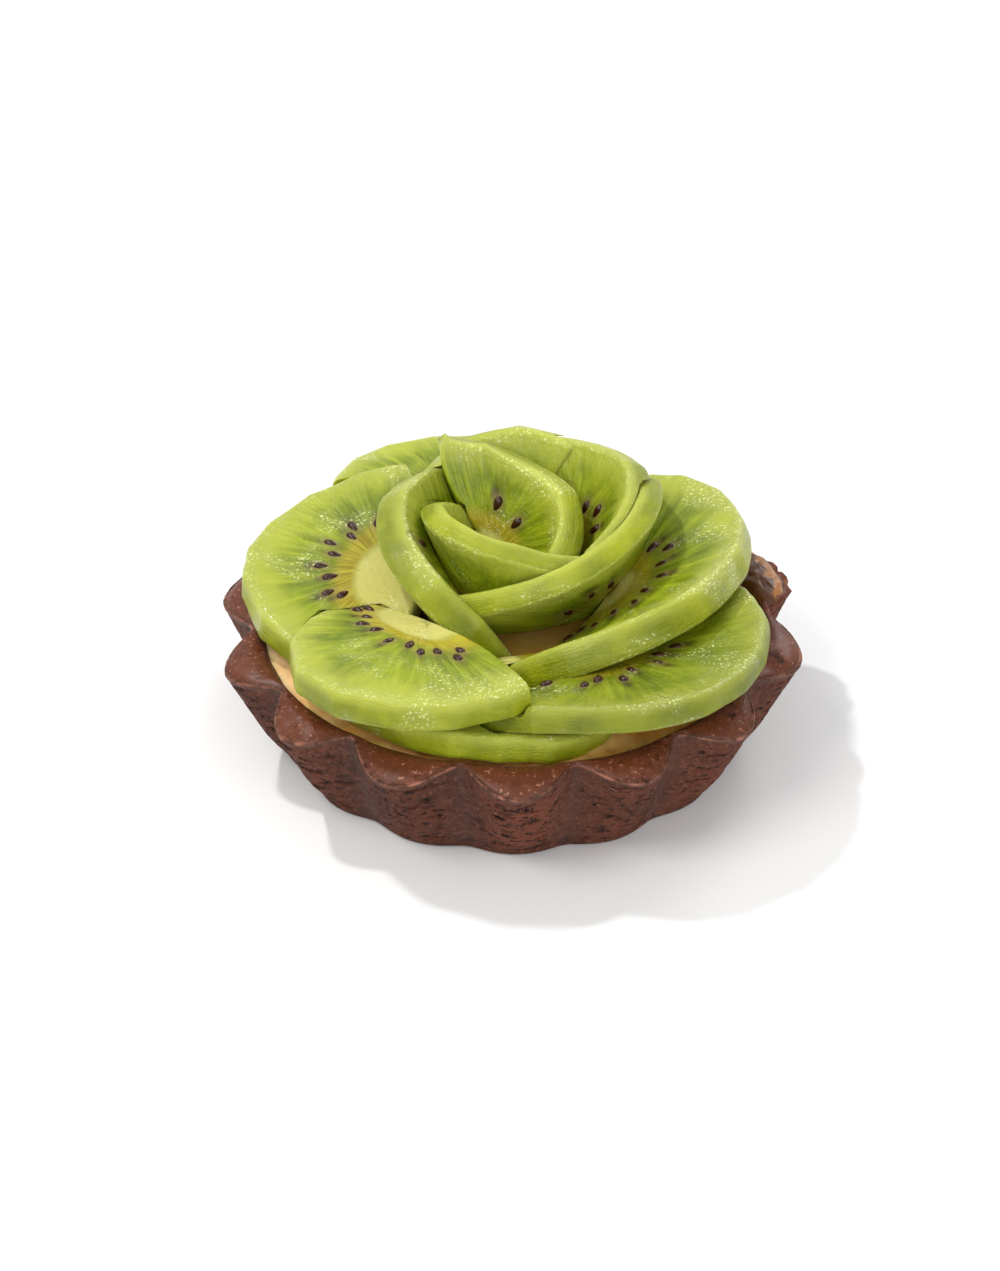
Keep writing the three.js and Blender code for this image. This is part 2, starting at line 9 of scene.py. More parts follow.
import bmesh
import bpy
import numpy as np
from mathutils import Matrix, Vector


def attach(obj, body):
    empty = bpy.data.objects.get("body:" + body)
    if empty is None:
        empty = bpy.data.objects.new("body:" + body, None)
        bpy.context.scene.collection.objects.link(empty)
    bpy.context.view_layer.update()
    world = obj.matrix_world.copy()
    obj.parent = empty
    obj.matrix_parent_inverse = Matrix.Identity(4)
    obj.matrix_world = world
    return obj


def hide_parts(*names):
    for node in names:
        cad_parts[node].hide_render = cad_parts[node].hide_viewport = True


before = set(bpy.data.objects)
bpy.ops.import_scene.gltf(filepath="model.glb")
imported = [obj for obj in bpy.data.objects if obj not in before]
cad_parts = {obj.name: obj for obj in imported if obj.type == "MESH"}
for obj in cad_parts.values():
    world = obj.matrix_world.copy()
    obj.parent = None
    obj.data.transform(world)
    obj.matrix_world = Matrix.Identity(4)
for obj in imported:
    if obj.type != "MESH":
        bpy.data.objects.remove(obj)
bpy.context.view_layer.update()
MM = 0.001
TAU = 2 * math.pi

# ---- sizes shared with the CAD model
# The shell: its lobes stand out, and its rim rises inwards from the edge to the crown.
FLUTES = 14
RIM_LOBE_R, RIM_VALLEY_R = 43.3, 38.1
FOOT_LOBE_R, FOOT_VALLEY_R = 35.0, 33.7
EDGE_LOBE_Z, EDGE_VALLEY_Z = 16.3, 17.8
CROWN_LOBE_R, CROWN_VALLEY_R, CROWN_Z = 38.9, 37.5, 18.2
INNER_ROWS = [(32, 4), (35.3, 13.8), (36.9, 17.5)]  # radius and height, going up inside
FLOOR_THICK, FOOT_ROUND = 4.0, 1.6
DIP_FULLNESS = 1.8
NEAR_VALLEYS = [-114, -84, -59.5, -35.8, -10.8, 13.3, 37.1, 61.8, 90.5, 120]  # degrees, 0 in front
CRUMBLED_LOBE = 8
# The cream, heaped up on one side, and a smear of it on the crumbled lobe.
CREAM_TOP, CREAM_SHOULDER_TOP, CREAM_EDGE_TOP = 17.8, 16.5, 16.2
HEAP_ANGLE, HEAP_RISE = -120, 2.2
CREAM_REACH = 36.0
SMEAR_AT, SMEAR_HALF = (105, 38.2, 17.4), (7.5, 3.4, 2.0)  # angle, radius, height; half axes
# The fruit: where the slices end below, and the seeds.
GAP = 0.3
DEEP_FOOT_Z = 15.5
HIGH_FOOT_Z = CREAM_TOP + GAP
SEED_LENGTH, SEED_WIDTH, SEED_RISE = 2.5, 1.35, 0.34


@dataclass
class Petal:
    """A kiwi slice: half a disc laid on a bent and leaning surface. Angles are in degrees."""
    name: str
    at: tuple
    faces: float  # the way its inner face looks, seen from above
    lean: float  # outwards from upright
    radius: float
    squash: float  # depth of the half disc against half its width
    thick: float
    bend: float = 0  # radians per mm along the slice
    bend_gain: float = 0  # growth of the bend along the slice
    lean_along: float = 0  # growth of the lean from end to end
    lean_ends: float = 0  # and towards both ends
    lean_up: float = 0  # and up the slice
    climb: float = 0  # rise from end to end
    sag: float = 0  # rise of both ends
    turn: float = 0  # turn of the half disc on its surface
    lift: float = 0  # shift of the half disc up its surface
    lopside: float = 0  # how much wider one half is
    cut_bulge: float = 0  # how far the cut edge bows out
    deep_foot: bool = False  # reaches down into the cream
    seeds: tuple = (0, 9.5, 8.5, 0, 0)  # face (-1 inner, 1 outer), half axes and shift of the ring, number


SLICES = [
    Petal("kiwi_heart", (-1.9, -0.3, 17.1), faces=-29, lean=22, radius=18.4, squash=0.98, thick=3.8,
          bend=0.102, bend_gain=0.0003, lean_along=1, lean_up=-11, climb=-2.3, sag=0.5, turn=-17.5,
          cut_bulge=0.4),
    Petal("kiwi_inner_left", (-7.7, 9.4, 17.2), faces=-105, lean=32, radius=20.9, squash=0.88, thick=5.2,
          bend=0.044, lean_ends=-4, lean_up=3, climb=1.2, sag=-0.5, turn=-8, lopside=0.17, deep_foot=True,
          seeds=(-1, 12, 14, 0, 11)),
    Petal("kiwi_inner_right", (10.6, 4.0, 15.2), faces=41, lean=27, radius=23.4, squash=0.92, thick=3.8,
          bend=0.055, bend_gain=-0.0019, lean_along=-27, lean_ends=-5, lean_up=-1, climb=1.8, sag=-0.8,
          turn=2.3, lift=-0.6, seeds=(1, 12.4, 13, 2, 15)),
    Petal("kiwi_inner_back", (-2.8, 12.1, 19.3), faces=172.9, lean=25.5, radius=17.6, squash=0.95, thick=4.3,
          bend=0.0427, bend_gain=-0.0136, lean_along=15.3, lean_ends=3.4, lean_up=-4.2, climb=7, sag=10.7,
          turn=47.3, lift=0.1, lopside=0.02, seeds=(-1, 8.2, 7.7, 0.6, 6)),
    Petal("kiwi_middle_right", (9.2, 12.2, 18.9), faces=125, lean=31, radius=18.5, squash=0.94, thick=4.5,
          bend=0.088, lean_along=12, lean_ends=-1.5, climb=-2.1, sag=1.2, turn=38, lift=1.2, lopside=-0.03,
          seeds=(-1, 8, 7.6, 0, 9)),
    Petal("kiwi_middle_back", (0.6, 16.8, 17.1), faces=179, lean=27, radius=17.8, squash=1.12, thick=4.5,
          bend=0.034, climb=-0.2, turn=-1, lopside=-0.03, cut_bulge=0.5, seeds=(1, 8, 8.2, 0, 9)),
    Petal("kiwi_outer_right", (14.2, 1.2, 18.3), faces=72, lean=62, radius=23.5, squash=0.91, thick=5.1,
          bend=0.0334, bend_gain=-0.0008, lean_along=22, lean_ends=0.4, lean_up=0.6, climb=5.5, sag=1.7,
          turn=7, lift=0.5, deep_foot=True, seeds=(-1, 9.8, 9.4, 0, 12)),
    Petal("kiwi_base_front_left", (-13.2, -14.8, 23.2), faces=-48.8, lean=85.2, radius=21, squash=1.02,
          thick=4.7, bend_gain=-0.0002, lean_along=4.7, lean_ends=-0.3, lean_up=-1.2, climb=5.2, sag=-1.1,
          turn=1.5, lopside=0.22, cut_bulge=3.4, deep_foot=True, seeds=(-1, 11.8, 5.4, 0.5, 11)),
    Petal("kiwi_base_left", (-18, 3.2, 21.7), faces=-95.1, lean=92.1, radius=23.6, squash=0.93, thick=4.9,
          bend=-0.0014, lean_along=-8, lean_ends=-1, lean_up=-7.9, climb=-4.1, sag=0.4, turn=2,
          cut_bulge=6.2, deep_foot=True, seeds=(-1, 10, 9.2, -0.6, 12)),
    Petal("kiwi_base_right", (13.3, -15.8, 19.8), faces=44, lean=78.5, radius=24.4, squash=0.9, thick=3.9,
          bend=0.0073, bend_gain=0.0003, lean_along=7.4, lean_ends=-7.6, lean_up=-1, sag=2.2, deep_foot=True,
          seeds=(-1, 10.4, 8.6, -0.5, 12)),
    Petal("kiwi_base_back_left", (-7.5, 17.7, 23.8), faces=-134, lean=89.5, radius=22.1, squash=1.01,
          thick=4.6, bend=-0.011, lean_along=-1, lean_up=5.6, climb=0.8, sag=0.3, turn=-4, lopside=-0.06,
          cut_bulge=0.4, deep_foot=True, seeds=(-1, 10, 9, 0, 11)),
    Petal("kiwi_base_back_right", (7.5, 18, 18.9), faces=158, lean=88, radius=22, squash=0.84, thick=4.5,
          bend=0.004, lean_ends=4, lean_up=8, deep_foot=True, seeds=(-1, 10, 8.5, 0, 11)),
    Petal("kiwi_base_front", (-3.7, -14.0, 18), faces=23, lean=92, radius=23, squash=1.02, thick=4.3,
          bend=-0.009, lean_along=9, lean_ends=3.5, lean_up=-8, climb=-1.5, sag=-1.2, turn=2.5,
          cut_bulge=0.5, deep_foot=True),
]
# Where two slices meet, the one listed first keeps its form, but for these pairs.
YIELDS = {("kiwi_inner_left", "kiwi_inner_back")}


# ---- small tools
def draws(seed):
    """The same seeded draws from 0 to 1 as in the CAD model."""
    state = seed
    while True:
        state = (state * 1664525 + 1013904223) % 4294967296
        yield state / 4294967296


def mix(a, b, t):
    return a + (b - a) * t


def smooth(low, high, x):
    """0 below low, 1 above high, with a soft step between."""
    t = np.clip((x - low) / (high - low), 0, 1)
    return t * t * (3 - 2 * t)


def unit(v):
    return v / np.maximum(np.linalg.norm(v, axis=-1, keepdims=True), 1e-12)


def value_noise(points, seed):
    """Smooth noise from -1 to 1 at points (n x 3), one bump to the unit."""
    cell = np.floor(points).astype(np.int64)
    part = points - cell
    part = part * part * (3 - 2 * part)

    def corner(dx, dy, dz):
        """The hashed value of a corner of the cell."""
        n = (cell[:, 0] + dx) * 374761393 + (cell[:, 1] + dy) * 668265263
        n = n + (cell[:, 2] + dz) * 2147483647
        n = (n + seed * 1274126177) & 0xFFFFFFFF
        n = ((n ^ (n >> 13)) * 1103515245) & 0xFFFFFFFF
        n = ((n ^ (n >> 16)) * 2246822519) & 0xFFFFFFFF
        return (n ^ (n >> 15)) / 0x7FFFFFFF - 1.0

    x, y, z = part.T
    out = 0
    for dx, dy, dz in np.ndindex(2, 2, 2):
        weight = (x if dx else 1 - x) * (y if dy else 1 - y) * (z if dz else 1 - z)
        out = out + weight * corner(dx, dy, dz)
    return out


def layered_noise(points, seed, octaves=3, gain=0.5):
    """Noise with finer layers added, each gain times as strong as the one before."""
    total, amount, norm = 0, 1.0, 0
    for k in range(octaves):
        total = total + amount * value_noise(points * 2 ** k, seed + 17 * k)
        norm += amount
        amount *= gain
    return total / norm


def make_mesh(name, points_mm, faces, maps=None):
    """A mesh in metres. maps gives for each UV map a pair of values per vertex."""
    mesh = bpy.data.meshes.new(name)
    mesh.from_pydata((np.asarray(points_mm) * MM).tolist(), [], faces)
    if maps:
        index = np.zeros(len(mesh.loops), np.int32)
        mesh.loops.foreach_get("vertex_index", index)
        for layer, pairs in maps.items():
            uv = mesh.uv_layers.new(name=layer)
            uv.data.foreach_set("uv", np.asarray(pairs, np.float32)[index].ravel())
    mesh.validate()
    return mesh


def make_object(name, data):
    obj = bpy.data.objects.new(name, data)
    bpy.context.scene.collection.objects.link(obj)
    return obj


def smooth_shading(mesh, crease):
    """Smooth, but sharp at edges that turn by more than crease degrees."""
    mesh.polygons.foreach_set("use_smooth", np.ones(len(mesh.polygons), bool))
    mesh.set_sharp_from_angle(angle=math.radians(crease))
    mesh.update()


def make_piece(name, points_mm, faces, material, crease, maps=None):
    mesh = make_mesh(name, points_mm, faces, maps)
    mesh.materials.append(material)
    smooth_shading(mesh, crease)
    return make_object(name, mesh)


def closed_tube(rings, poles=None, flip=False):
    """Points and faces over rings of points, closed at each end by a fan to its pole or by a face."""
    rows, sides = rings.shape[:2]
    ids = np.arange(rows * sides).reshape(rows, sides)
    after = np.roll(ids, -1, axis=1)
    quads = np.stack([ids[:-1], after[:-1], after[1:], ids[1:]], -1).reshape(-1, 4)
    points = rings.reshape(-1, 3)
    if poles is None:
        return points, quads.tolist() + [ids[0][::-1].tolist(), ids[-1].tolist()]
    first, last = np.full(sides, rows * sides), np.full(sides, rows * sides + 1)
    fans = np.vstack([np.stack([first, after[0], ids[0]], -1), np.stack([last, ids[-1], after[-1]], -1)])
    if flip:
        quads, fans = quads[:, [0, 3, 2, 1]], fans[:, [0, 2, 1]]
    return np.vstack([points, poles]), quads.tolist() + fans.tolist()


# ---- form of a kiwi slice
PATH_HALF, PATH_STEPS, LEAN_SPAN = 40.0, 320, 25.0
LEAST_CURL = 0.01  # degrees; stands in for a lean that doesn't grow upwards


def middle_surface(petal):
    """The bent surface of a slice: a function of u along it and v up it."""
    step = 2 * PATH_HALF / PATH_STEPS
    us = -PATH_HALF + step * np.arange(PATH_STEPS + 1)

    def heading(u):
        return math.radians(petal.faces) + petal.bend * u + 0.5 * petal.bend_gain * u * u

    def gone(rates):
        """The way gone at each of us, from the middle of the path."""
        way = np.concatenate([[0], np.cumsum((rates[:-1] + rates[1:]) / 2 * step)])
        return way - way[PATH_STEPS // 2]

    xs, ys = gone(np.cos(heading(us))), gone(np.sin(heading(us)))
    curl = LEAST_CURL if abs(petal.lean_up) < LEAST_CURL else petal.lean_up
    rate = math.radians(curl) / LEAN_SPAN

    def surface(u, v):
        x = petal.at[0] + np.interp(u, us, xs)
        y = petal.at[1] + np.interp(u, us, ys)
        k = u / LEAN_SPAN
        lean = np.radians(petal.lean + petal.lean_along * k + petal.lean_ends * k * k)
        out = (np.cos(lean) - np.cos(lean + rate * v)) / rate
        up = (np.sin(lean + rate * v) - np.sin(lean)) / rate
        z = petal.at[2] + petal.climb * k + petal.sag * k * k + up
        return np.stack([x + out * np.sin(heading(u)), y - out * np.cos(heading(u)), z], -1)

    return surface


def face_point(petal, p, q, offset):
    """Points, normals and directions along the slice, for p along the cut and q towards the rind."""
    surface = middle_surface(petal)
    t = math.radians(petal.turn)
    u = p * math.cos(t) - q * math.sin(t)
    v = p * math.sin(t) + q * math.cos(t) + petal.lift
    e = 0.01
    along_u = surface(u + e, v) - surface(u - e, v)
    along_v = surface(u, v + e) - surface(u, v - e)
    normal = unit(np.cross(along_u, along_v))
    return surface(u, v) + normal * np.asarray(offset)[..., None], normal, along_u


def disc_coordinates(petal, share, angle, grow):
    """p and q at a share of the way from the middle of the cut to the outline, grown by grow."""
    reach = (petal.radius + grow) * (1 + petal.lopside * np.cos(angle))
    bulge = (petal.cut_bulge + grow) * (1 - (share * np.cos(angle)) ** 2) * (1 - share * np.sin(angle))
    return share * reach * np.cos(angle), share * reach * petal.squash * np.sin(angle) - bulge


STROKE_LENGTH, STROKE_MORE = 6, 4.5
PEEL_TILT, RIND_RIPPLE = 0.22, 0.09
RIPPLE_ALONG, RIPPLE_ACROSS = 0.55, 1.6


def peel_cuts(petal, index, angle):
    """The flat strokes of the peeling knife: how deep each lies inside the round outline, and its tilt."""
    draw = draws(61 + 7 * index)
    ends = [-0.25]
    while ends[-1] < math.pi + 0.1:
        ends.append(ends[-1] + (STROKE_LENGTH + STROKE_MORE * next(draw)) / petal.radius)
    tilts = np.array([2 * next(draw) - 1 for _ in ends])
    ends = np.array(ends)
    k = np.clip(np.searchsorted(ends, angle) - 1, 0, len(ends) - 2)
    middle, half = (ends[k] + ends[k + 1]) / 2, (ends[k + 1] - ends[k]) / 2
    depth = petal.radius * (1 - np.cos(half) / np.cos(angle - middle))
    return depth, tilts[k] * (1 - ((angle - middle) / half) ** 2)


def peeled(petal, index, share, angle, offset, inset):
    """The inset of the rind with the strokes of the knife and a fine ripple."""
    depth, tilt = peel_cuts(petal, index, angle)
    across = RIPPLE_ACROSS * offset + 9.0 * index
    at = np.stack([angle * petal.radius * RIPPLE_ALONG, across, 0 * across], -1)
    inset = inset + depth + PEEL_TILT * tilt * offset + PEEL_TILT
    return inset + RIND_RIPPLE * value_noise(at, 211) * (share > 0.99)


def slice_faces(layers):
    """Faces of a half disc. Each layer is its middle vertex and a grid of vertices, share by angle."""
    faces = []
    for (middle, ids), flip in ((layers[0], False), (layers[-1], True)):
        fan = np.stack([np.full(ids.shape[1] - 1, middle), ids[0, 1:], ids[0, :-1]], -1)
        quads = np.stack([ids[:-1, :-1], ids[:-1, 1:], ids[1:, 1:], ids[1:, :-1]], -1).reshape(-1, 4)
        for part in (fan, quads):
            faces += (part[:, ::-1] if flip else part).tolist()
    for (low_middle, low), (high_middle, high) in zip(layers[:-1], layers[1:]):
        faces += np.stack([low[-1, :-1], low[-1, 1:], high[-1, 1:], high[-1, :-1]], -1).tolist()
        below = np.concatenate([low[::-1, 0], [low_middle], low[:, -1]])
        above = np.concatenate([high[::-1, 0], [high_middle], high[:, -1]])
        faces += np.stack([below[1:], below[:-1], above[:-1], above[1:]], -1).tolist()
    return faces


def slice_mesh(petal, shares, arc_steps, rows, grow=0.0, peel=None):
    """Points, faces, normals and disc coordinates (p, q, share, side) of a closed half disc.

    rows lists the layers from face to face, each by its offset in half thicknesses and the inset of its
    outline. The first and last layer are whole faces. peel is the number of the slice whose rind is peeled.
    """
    angles = np.pi * np.arange(arc_steps + 1) / arc_steps
    last = len(shares) - 1
    blocks, layers, count = [], [], 0

    def vertices(share, angle, row):
        nonlocal count
        share, angle = np.broadcast_arrays(share, angle)
        blocks.append(np.stack([share, angle, np.full(share.shape, row)], -1).reshape(-1, 3))
        count += share.size
        return np.arange(count - share.size, count).reshape(share.shape)

    for row in range(len(rows)):
        middle = vertices([0.0], [np.pi / 2], row)[0]
        if row in (0, len(rows) - 1):
            ids = vertices(shares[:, None], angles[None, :], row)
        else:
            ids = np.full((len(shares), arc_steps + 1), -1)
            ids[last] = vertices(shares[last], angles, row)
            ids[:last, 0] = vertices(shares[:last], 0.0, row)
            ids[:last, -1] = vertices(shares[:last], np.pi, row)
        layers.append((middle, ids))
    share, angle, row = np.vstack(blocks).T
    offset, inset = np.array(rows, float)[row.astype(int)].T
    if peel is not None:
        inset = peeled(petal, peel, share, angle, offset, inset)
    p, q = disc_coordinates(petal, share, angle, grow - inset)
    points, normals, _ = face_point(petal, p, q, offset * (petal.thick / 2 + grow))
    return points, slice_faces(layers), normals, np.stack([p, q, share, offset], -1)


# ---- seeds and marks of a slice
@dataclass
class Seed:
    place: tuple  # p, q and direction away from the core
    at: np.ndarray  # the point on the face
    out: np.ndarray  # away from the flesh
    long: np.ndarray  # away from the core


SAME_POINT = 0.12


def seed_ring(petal, index):
    """The places of all seeds of a slice, by the rule of the CAD model."""
    draw = draws(977 + 131 * index)
    _, ring_p, ring_q, shift, count = petal.seeds
    ring = []
    for i in range(count):
        angle = math.pi * (i + 0.5 + 0.5 * (next(draw) - 0.5)) / count
        away = 1 + (0.09 if i % 2 else -0.07) + 0.08 * (next(draw) - 0.5)
        p = shift + ring_p * away * math.cos(angle)
        q = ring_q * away * math.sin(angle)
        ring.append((p, q, math.atan2(q, p - shift)))
    return ring


def node_points(node):
    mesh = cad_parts[node].data
    co = np.zeros(len(mesh.vertices) * 3)
    mesh.vertices.foreach_get("co", co)
    return co.reshape(-1, 3) / MM


def kept_seeds(petal, index):
    """The seeds that the solid carries: those whose highest point is one of its vertices."""
    side = petal.seeds[0]
    solid = node_points(petal.name)
    kept = []
    for p, q, direction in seed_ring(petal, index):
        at, normal, along_u = face_point(petal, np.array(p), np.array(q), np.array(side * petal.thick / 2))
        out = normal * side
        if np.linalg.norm(solid - at - out * SEED_RISE, axis=1).min() > SAME_POINT:
            continue
        first = unit(along_u)
        turned = direction + math.radians(petal.turn)
        long = first * math.cos(turned) + np.cross(normal, first) * math.sin(turned)
        kept.append(Seed((p, q, direction), at, out, long))
    return kept


KEPT_SEEDS = [kept_seeds(petal, i) for i, petal in enumerate(SLICES)]

# Marks round a seed: length, width, shift away from the core, and how steeply the mark ends.
POCKET, TIP = (2.4, 0.95, 0.7, 2), (1.5, 0.95, 0.1, 4)
BEHIND, DEEPER = (1.4, 0.75, 0, 3), (1.1, 0.6, 0, 3)
# Two pale cores run on into each other: shift and stretch along the cut edge, in seed rings.
CORES = {"kiwi_base_left": (0.25, 1.5), "kiwi_base_front_left": (-0.15, 1.3)}
# How much painted shade darkens the flesh of some slices as a whole, for slices that lie more in shade.
PAINTED_SHADE = {"kiwi_base_right": 0.8, "kiwi_inner_left": 0.4, "kiwi_outer_right": 0.3, "kiwi_base_left": 0.25,
        "kiwi_middle_right": 0.2, "kiwi_base_front_left": 0.15}


def blot(p, q, place, length, width, shift, power):
    """A soft long spot over a seed, 1 in its middle."""
    seed_p, seed_q, direction = place
    c, d = math.cos(direction), math.sin(direction)
    along = (p - seed_p) * c + (q - seed_q) * d - shift
    across = (q - seed_q) * c - (p - seed_p) * d
    return np.exp(-np.abs(along / length) ** power - np.abs(across / width) ** power)


def seed_spots(petal, index, disc):
    """Round each seed a dark pocket and a pale tip, and blurred seeds deeper in the flesh."""
    p, q, _, side = disc.T
    pocket, tip, ghost = np.zeros((3, len(p)))
    front = side * petal.seeds[0] > 0.5
    draw = draws(311 + 17 * index)
    for place in [seed.place for seed in KEPT_SEEDS[index]]:
        pocket = np.maximum(pocket, front * blot(p, q, place, *POCKET))
        tip = np.maximum(tip, front * blot(p, q, place, *TIP))
        behind = 0.75 * blot(p, q, place, *BEHIND) * ~front
        scale = 1.12 + 0.16 * next(draw)
        swing = 0.12 * (next(draw) - 0.5)
        deeper = (place[0] * scale - place[1] * swing, place[1] * scale + place[0] * swing, place[2])
        weight = 0.8 * (next(draw) > 0.45)
        ghost = np.maximum(ghost, np.maximum(behind, weight * front * blot(p, q, deeper, *DEEPER)))
    return pocket, tip, ghost


def in_rings(petal, p, q):
    """p and q measured in seed rings."""
    _, ring_p, ring_q, shift, _ = petal.seeds
    return (p - shift) / ring_p, q / ring_q


def kiwi_maps(petal, index, disc):
    """What the material of the flesh reads at each vertex."""
    p, q, share, side = disc.T
    pocket, tip, ghost = seed_spots(petal, index, disc)
    x, y = in_rings(petal, p, q)
    shift, stretch = CORES.get(petal.name, (0.0, 1.0))
    core = np.hypot((x - shift) / stretch, np.maximum(y, 0))
    which = np.full(len(p), index / len(SLICES))
    # painted shade: how strongly this whole slice is darkened
    painted_shade = np.full(len(p), PAINTED_SHADE.get(petal.name, 0.0))
    pairs = {"ring": (x, y), "edge": (share, side), "spots": (pocket, tip), "deep": (ghost, which),
             "core": (core, painted_shade)}
    return {name: np.stack(pair, -1) for name, pair in pairs.items()}


def kiwi_relief(petal, index, points, normals, disc):
    """Low waves of a knife-cut face, ridges along the rays, a dip for the core and a bead at each seed."""
    p, q, share, side = disc.T
    x, y = in_rings(petal, p, q)
    away, angle = np.hypot(x, y), np.arctan2(y, x)
    on_face = smooth(0.5, 0.95, np.abs(side)) * smooth(1.0, 0.93, share)
    low = layered_noise(points * 0.15 + 31.7 * index, 5 + index, 2)
    flat = np.full(len(p), 7.0 * index)
    ridges = value_noise(np.stack([angle * 9, away * 1.1, flat], -1), 40 + index)
    fine = value_noise(np.stack([angle * 24, away * 1.6, flat], -1), 80 + index)
    rays = smooth(0.7, 1.1, away)
    pocket, tip, _ = seed_spots(petal, index, disc)
    lift = 0.16 * low + rays * (0.1 * ridges + 0.05 * fine) - 0.06 * pocket + 0.12 * tip
    lift = lift - 0.12 * smooth(0.72, 0.5, away)
    return points + np.sign(side)[:, None] * normals * (on_face * lift)[:, None]


# ---- meshes of the fruit
EDGE_ROUND = 1.05
FINE_SHARES = np.concatenate([np.linspace(0, 0.28, 8)[1:], np.linspace(0.28, 0.72, 20)[1:],
                              np.linspace(0.72, 0.94, 8)[1:], [0.955, 0.97, 0.98, 0.99, 1.0]])
FINE_ARC = 144
SLICE_CREASE = 38
# The plain slices that cut the others: a little larger, so that no two meshes touch.
CUTTER_SHARES = np.linspace(0, 1, 9)[1:]
CUTTER_ARC = 44
CUTTER_ROWS = [(-1, 0.3), (-0.7, 0), (0.7, 0), (1, 0.3)]
CUTTER_GROW = 0.1
FOOT_HALF, FOOT_DEPTH = 60, -20


def fine_rows(petal):
    """The layers over the rind: a rounded edge, a slightly crowned band, a rounded edge."""
    half = petal.thick / 2
    turn = [(-1 + EDGE_ROUND * (1 - math.cos(a)) / half, EDGE_ROUND * (1 - math.sin(a)))
            for a in (0, 0.3, 0.65, 1.05, 1.57)]
    return turn + [(-0.3, -0.05), (0.0, -0.07), (0.3, -0.05)] + [(-o, i) for o, i in turn[::-1]]


def square(half, z):
    return [(x * half, y * half, z) for x, y in ((-1, -1), (1, -1), (1, 1), (-1, 1))]


def foot_cutter(top):
    """A block that takes away everything below top."""
    rings = np.array([square(FOOT_HALF, z) for z in (FOOT_DEPTH, top)])
    return make_object("foot", make_mesh("foot", *closed_tube(rings)))


def vertex_islands(mesh):
    """For each vertex the lowest number in its connected piece."""
    edges = np.zeros(len(mesh.edges) * 2, np.int64)
    mesh.edges.foreach_get("vertices", edges)
    edges = edges.reshape(-1, 2)
    label = np.arange(len(mesh.vertices))
    while True:
        low = np.minimum(label[edges[:, 0]], label[edges[:, 1]])
        new = label.copy()
        np.minimum.at(new, edges[:, 0], low)
        np.minimum.at(new, edges[:, 1], low)
        new = new[new]
        if (new == label).all():
            return label
        label = new


def keep_largest_island(mesh):
    label = vertex_islands(mesh)
    names, sizes = np.unique(label, return_counts=True)
    if len(names) == 1:
        return
    drop = np.nonzero(label != names[sizes.argmax()])[0]
    bm = bmesh.new()
    bm.from_mesh(mesh)
    bm.verts.ensure_lookup_table()
    bmesh.ops.delete(bm, geom=[bm.verts[int(i)] for i in drop], context="VERTS")
    bm.to_mesh(mesh)
    bm.free()


def keeps_form(i, j):
    """Whether slice i stays whole where it meets slice j."""
    a, b = SLICES[i].name, SLICES[j].name
    if (b, a) in YIELDS:
        return True
    if (a, b) in YIELDS:
        return False
    return i < j


def boxes_meet(a, b):
    return (a.min(0) < b.max(0)).all() and (b.min(0) < a.max(0)).all()


def build_slices(material):
    """The slices, each cut back by those that keep their form and by the foot."""
    cutters, hulls = [], []
    for i, petal in enumerate(SLICES):
        points, faces, _, disc = slice_mesh(petal, CUTTER_SHARES, CUTTER_ARC, CUTTER_ROWS, CUTTER_GROW)
        mesh = make_mesh("cutter", points, faces, kiwi_maps(petal, i, disc))
        cutters.append(make_object("cutter_" + petal.name, mesh))
        hulls.append(points)
    feet = {z: foot_cutter(z) for z in (DEEP_FOOT_Z, HIGH_FOOT_Z)}
    pieces = []
    for i, petal in enumerate(SLICES):
        points, faces, normals, disc = slice_mesh(petal, FINE_SHARES, FINE_ARC, fine_rows(petal), 0.0, i)
        points = kiwi_relief(petal, i, points, normals, disc)
        mesh = make_mesh(petal.name, points, faces, kiwi_maps(petal, i, disc))
        piece = make_object(petal.name + "_slice", mesh)
        knives = [cutters[j] for j in range(len(SLICES))
                  if j != i and not keeps_form(i, j) and boxes_meet(points, hulls[j])]
        knives.append(feet[DEEP_FOOT_Z if petal.deep_foot else HIGH_FOOT_Z])
        for knife in knives:
            cut = piece.modifiers.new("cut", "BOOLEAN")
            cut.operation = "DIFFERENCE"
            cut.solver = "MANIFOLD"
            cut.object = knife
        pieces.append(piece)
    bpy.context.view_layer.update()
    graph = bpy.context.evaluated_depsgraph_get()
    for piece in pieces:
        mesh = bpy.data.meshes.new_from_object(piece.evaluated_get(graph), preserve_all_data_layers=True,
                                               depsgraph=graph)
        piece.modifiers.clear()
        keep_largest_island(mesh)
        mesh.materials.clear()
        mesh.materials.append(material)
        smooth_shading(mesh, SLICE_CREASE)
        piece.data = mesh
    for knife in [*cutters, *feet.values()]:
        bpy.data.objects.remove(knife)
    return pieces


SEED_RINGS, SEED_SIDES = 8, 14
SEED_SINK, SEED_THICK = 0.24, 0.64


def seed_mesh(seed, size):
    """A teardrop seed lying in its pocket, its thin end towards the core."""
    a = math.pi * np.arange(SEED_RINGS + 1)[:, None, None] / SEED_RINGS
    b = TAU * np.arange(SEED_SIDES)[:, None] / SEED_SIDES
    fat = np.maximum(np.sin(a) * (1 - 0.3 * np.cos(a)), 0.02)
    long = seed.long * (SEED_LENGTH * 0.94 * size / 2)
    wide = np.cross(seed.out, seed.long) * (SEED_WIDTH * 0.92 * size / 2)
    high = SEED_THICK * size * fat * np.sin(b) - SEED_SINK
    return closed_tube(seed.at - long * np.cos(a) + wide * fat * np.cos(b) + seed.out * high)


def build_seeds(material):
    """Every seed that the solids carry, one piece for all."""
    draw = draws(3)
    points, faces = [], []
    for seed in sum(KEPT_SEEDS, []):
        more, polys = seed_mesh(seed, 0.98 + 0.16 * next(draw))
        faces += [[k + len(points) for k in poly] for poly in polys]
        points += list(more)
    return make_piece("kiwi_seeds", points, faces, material, 60)


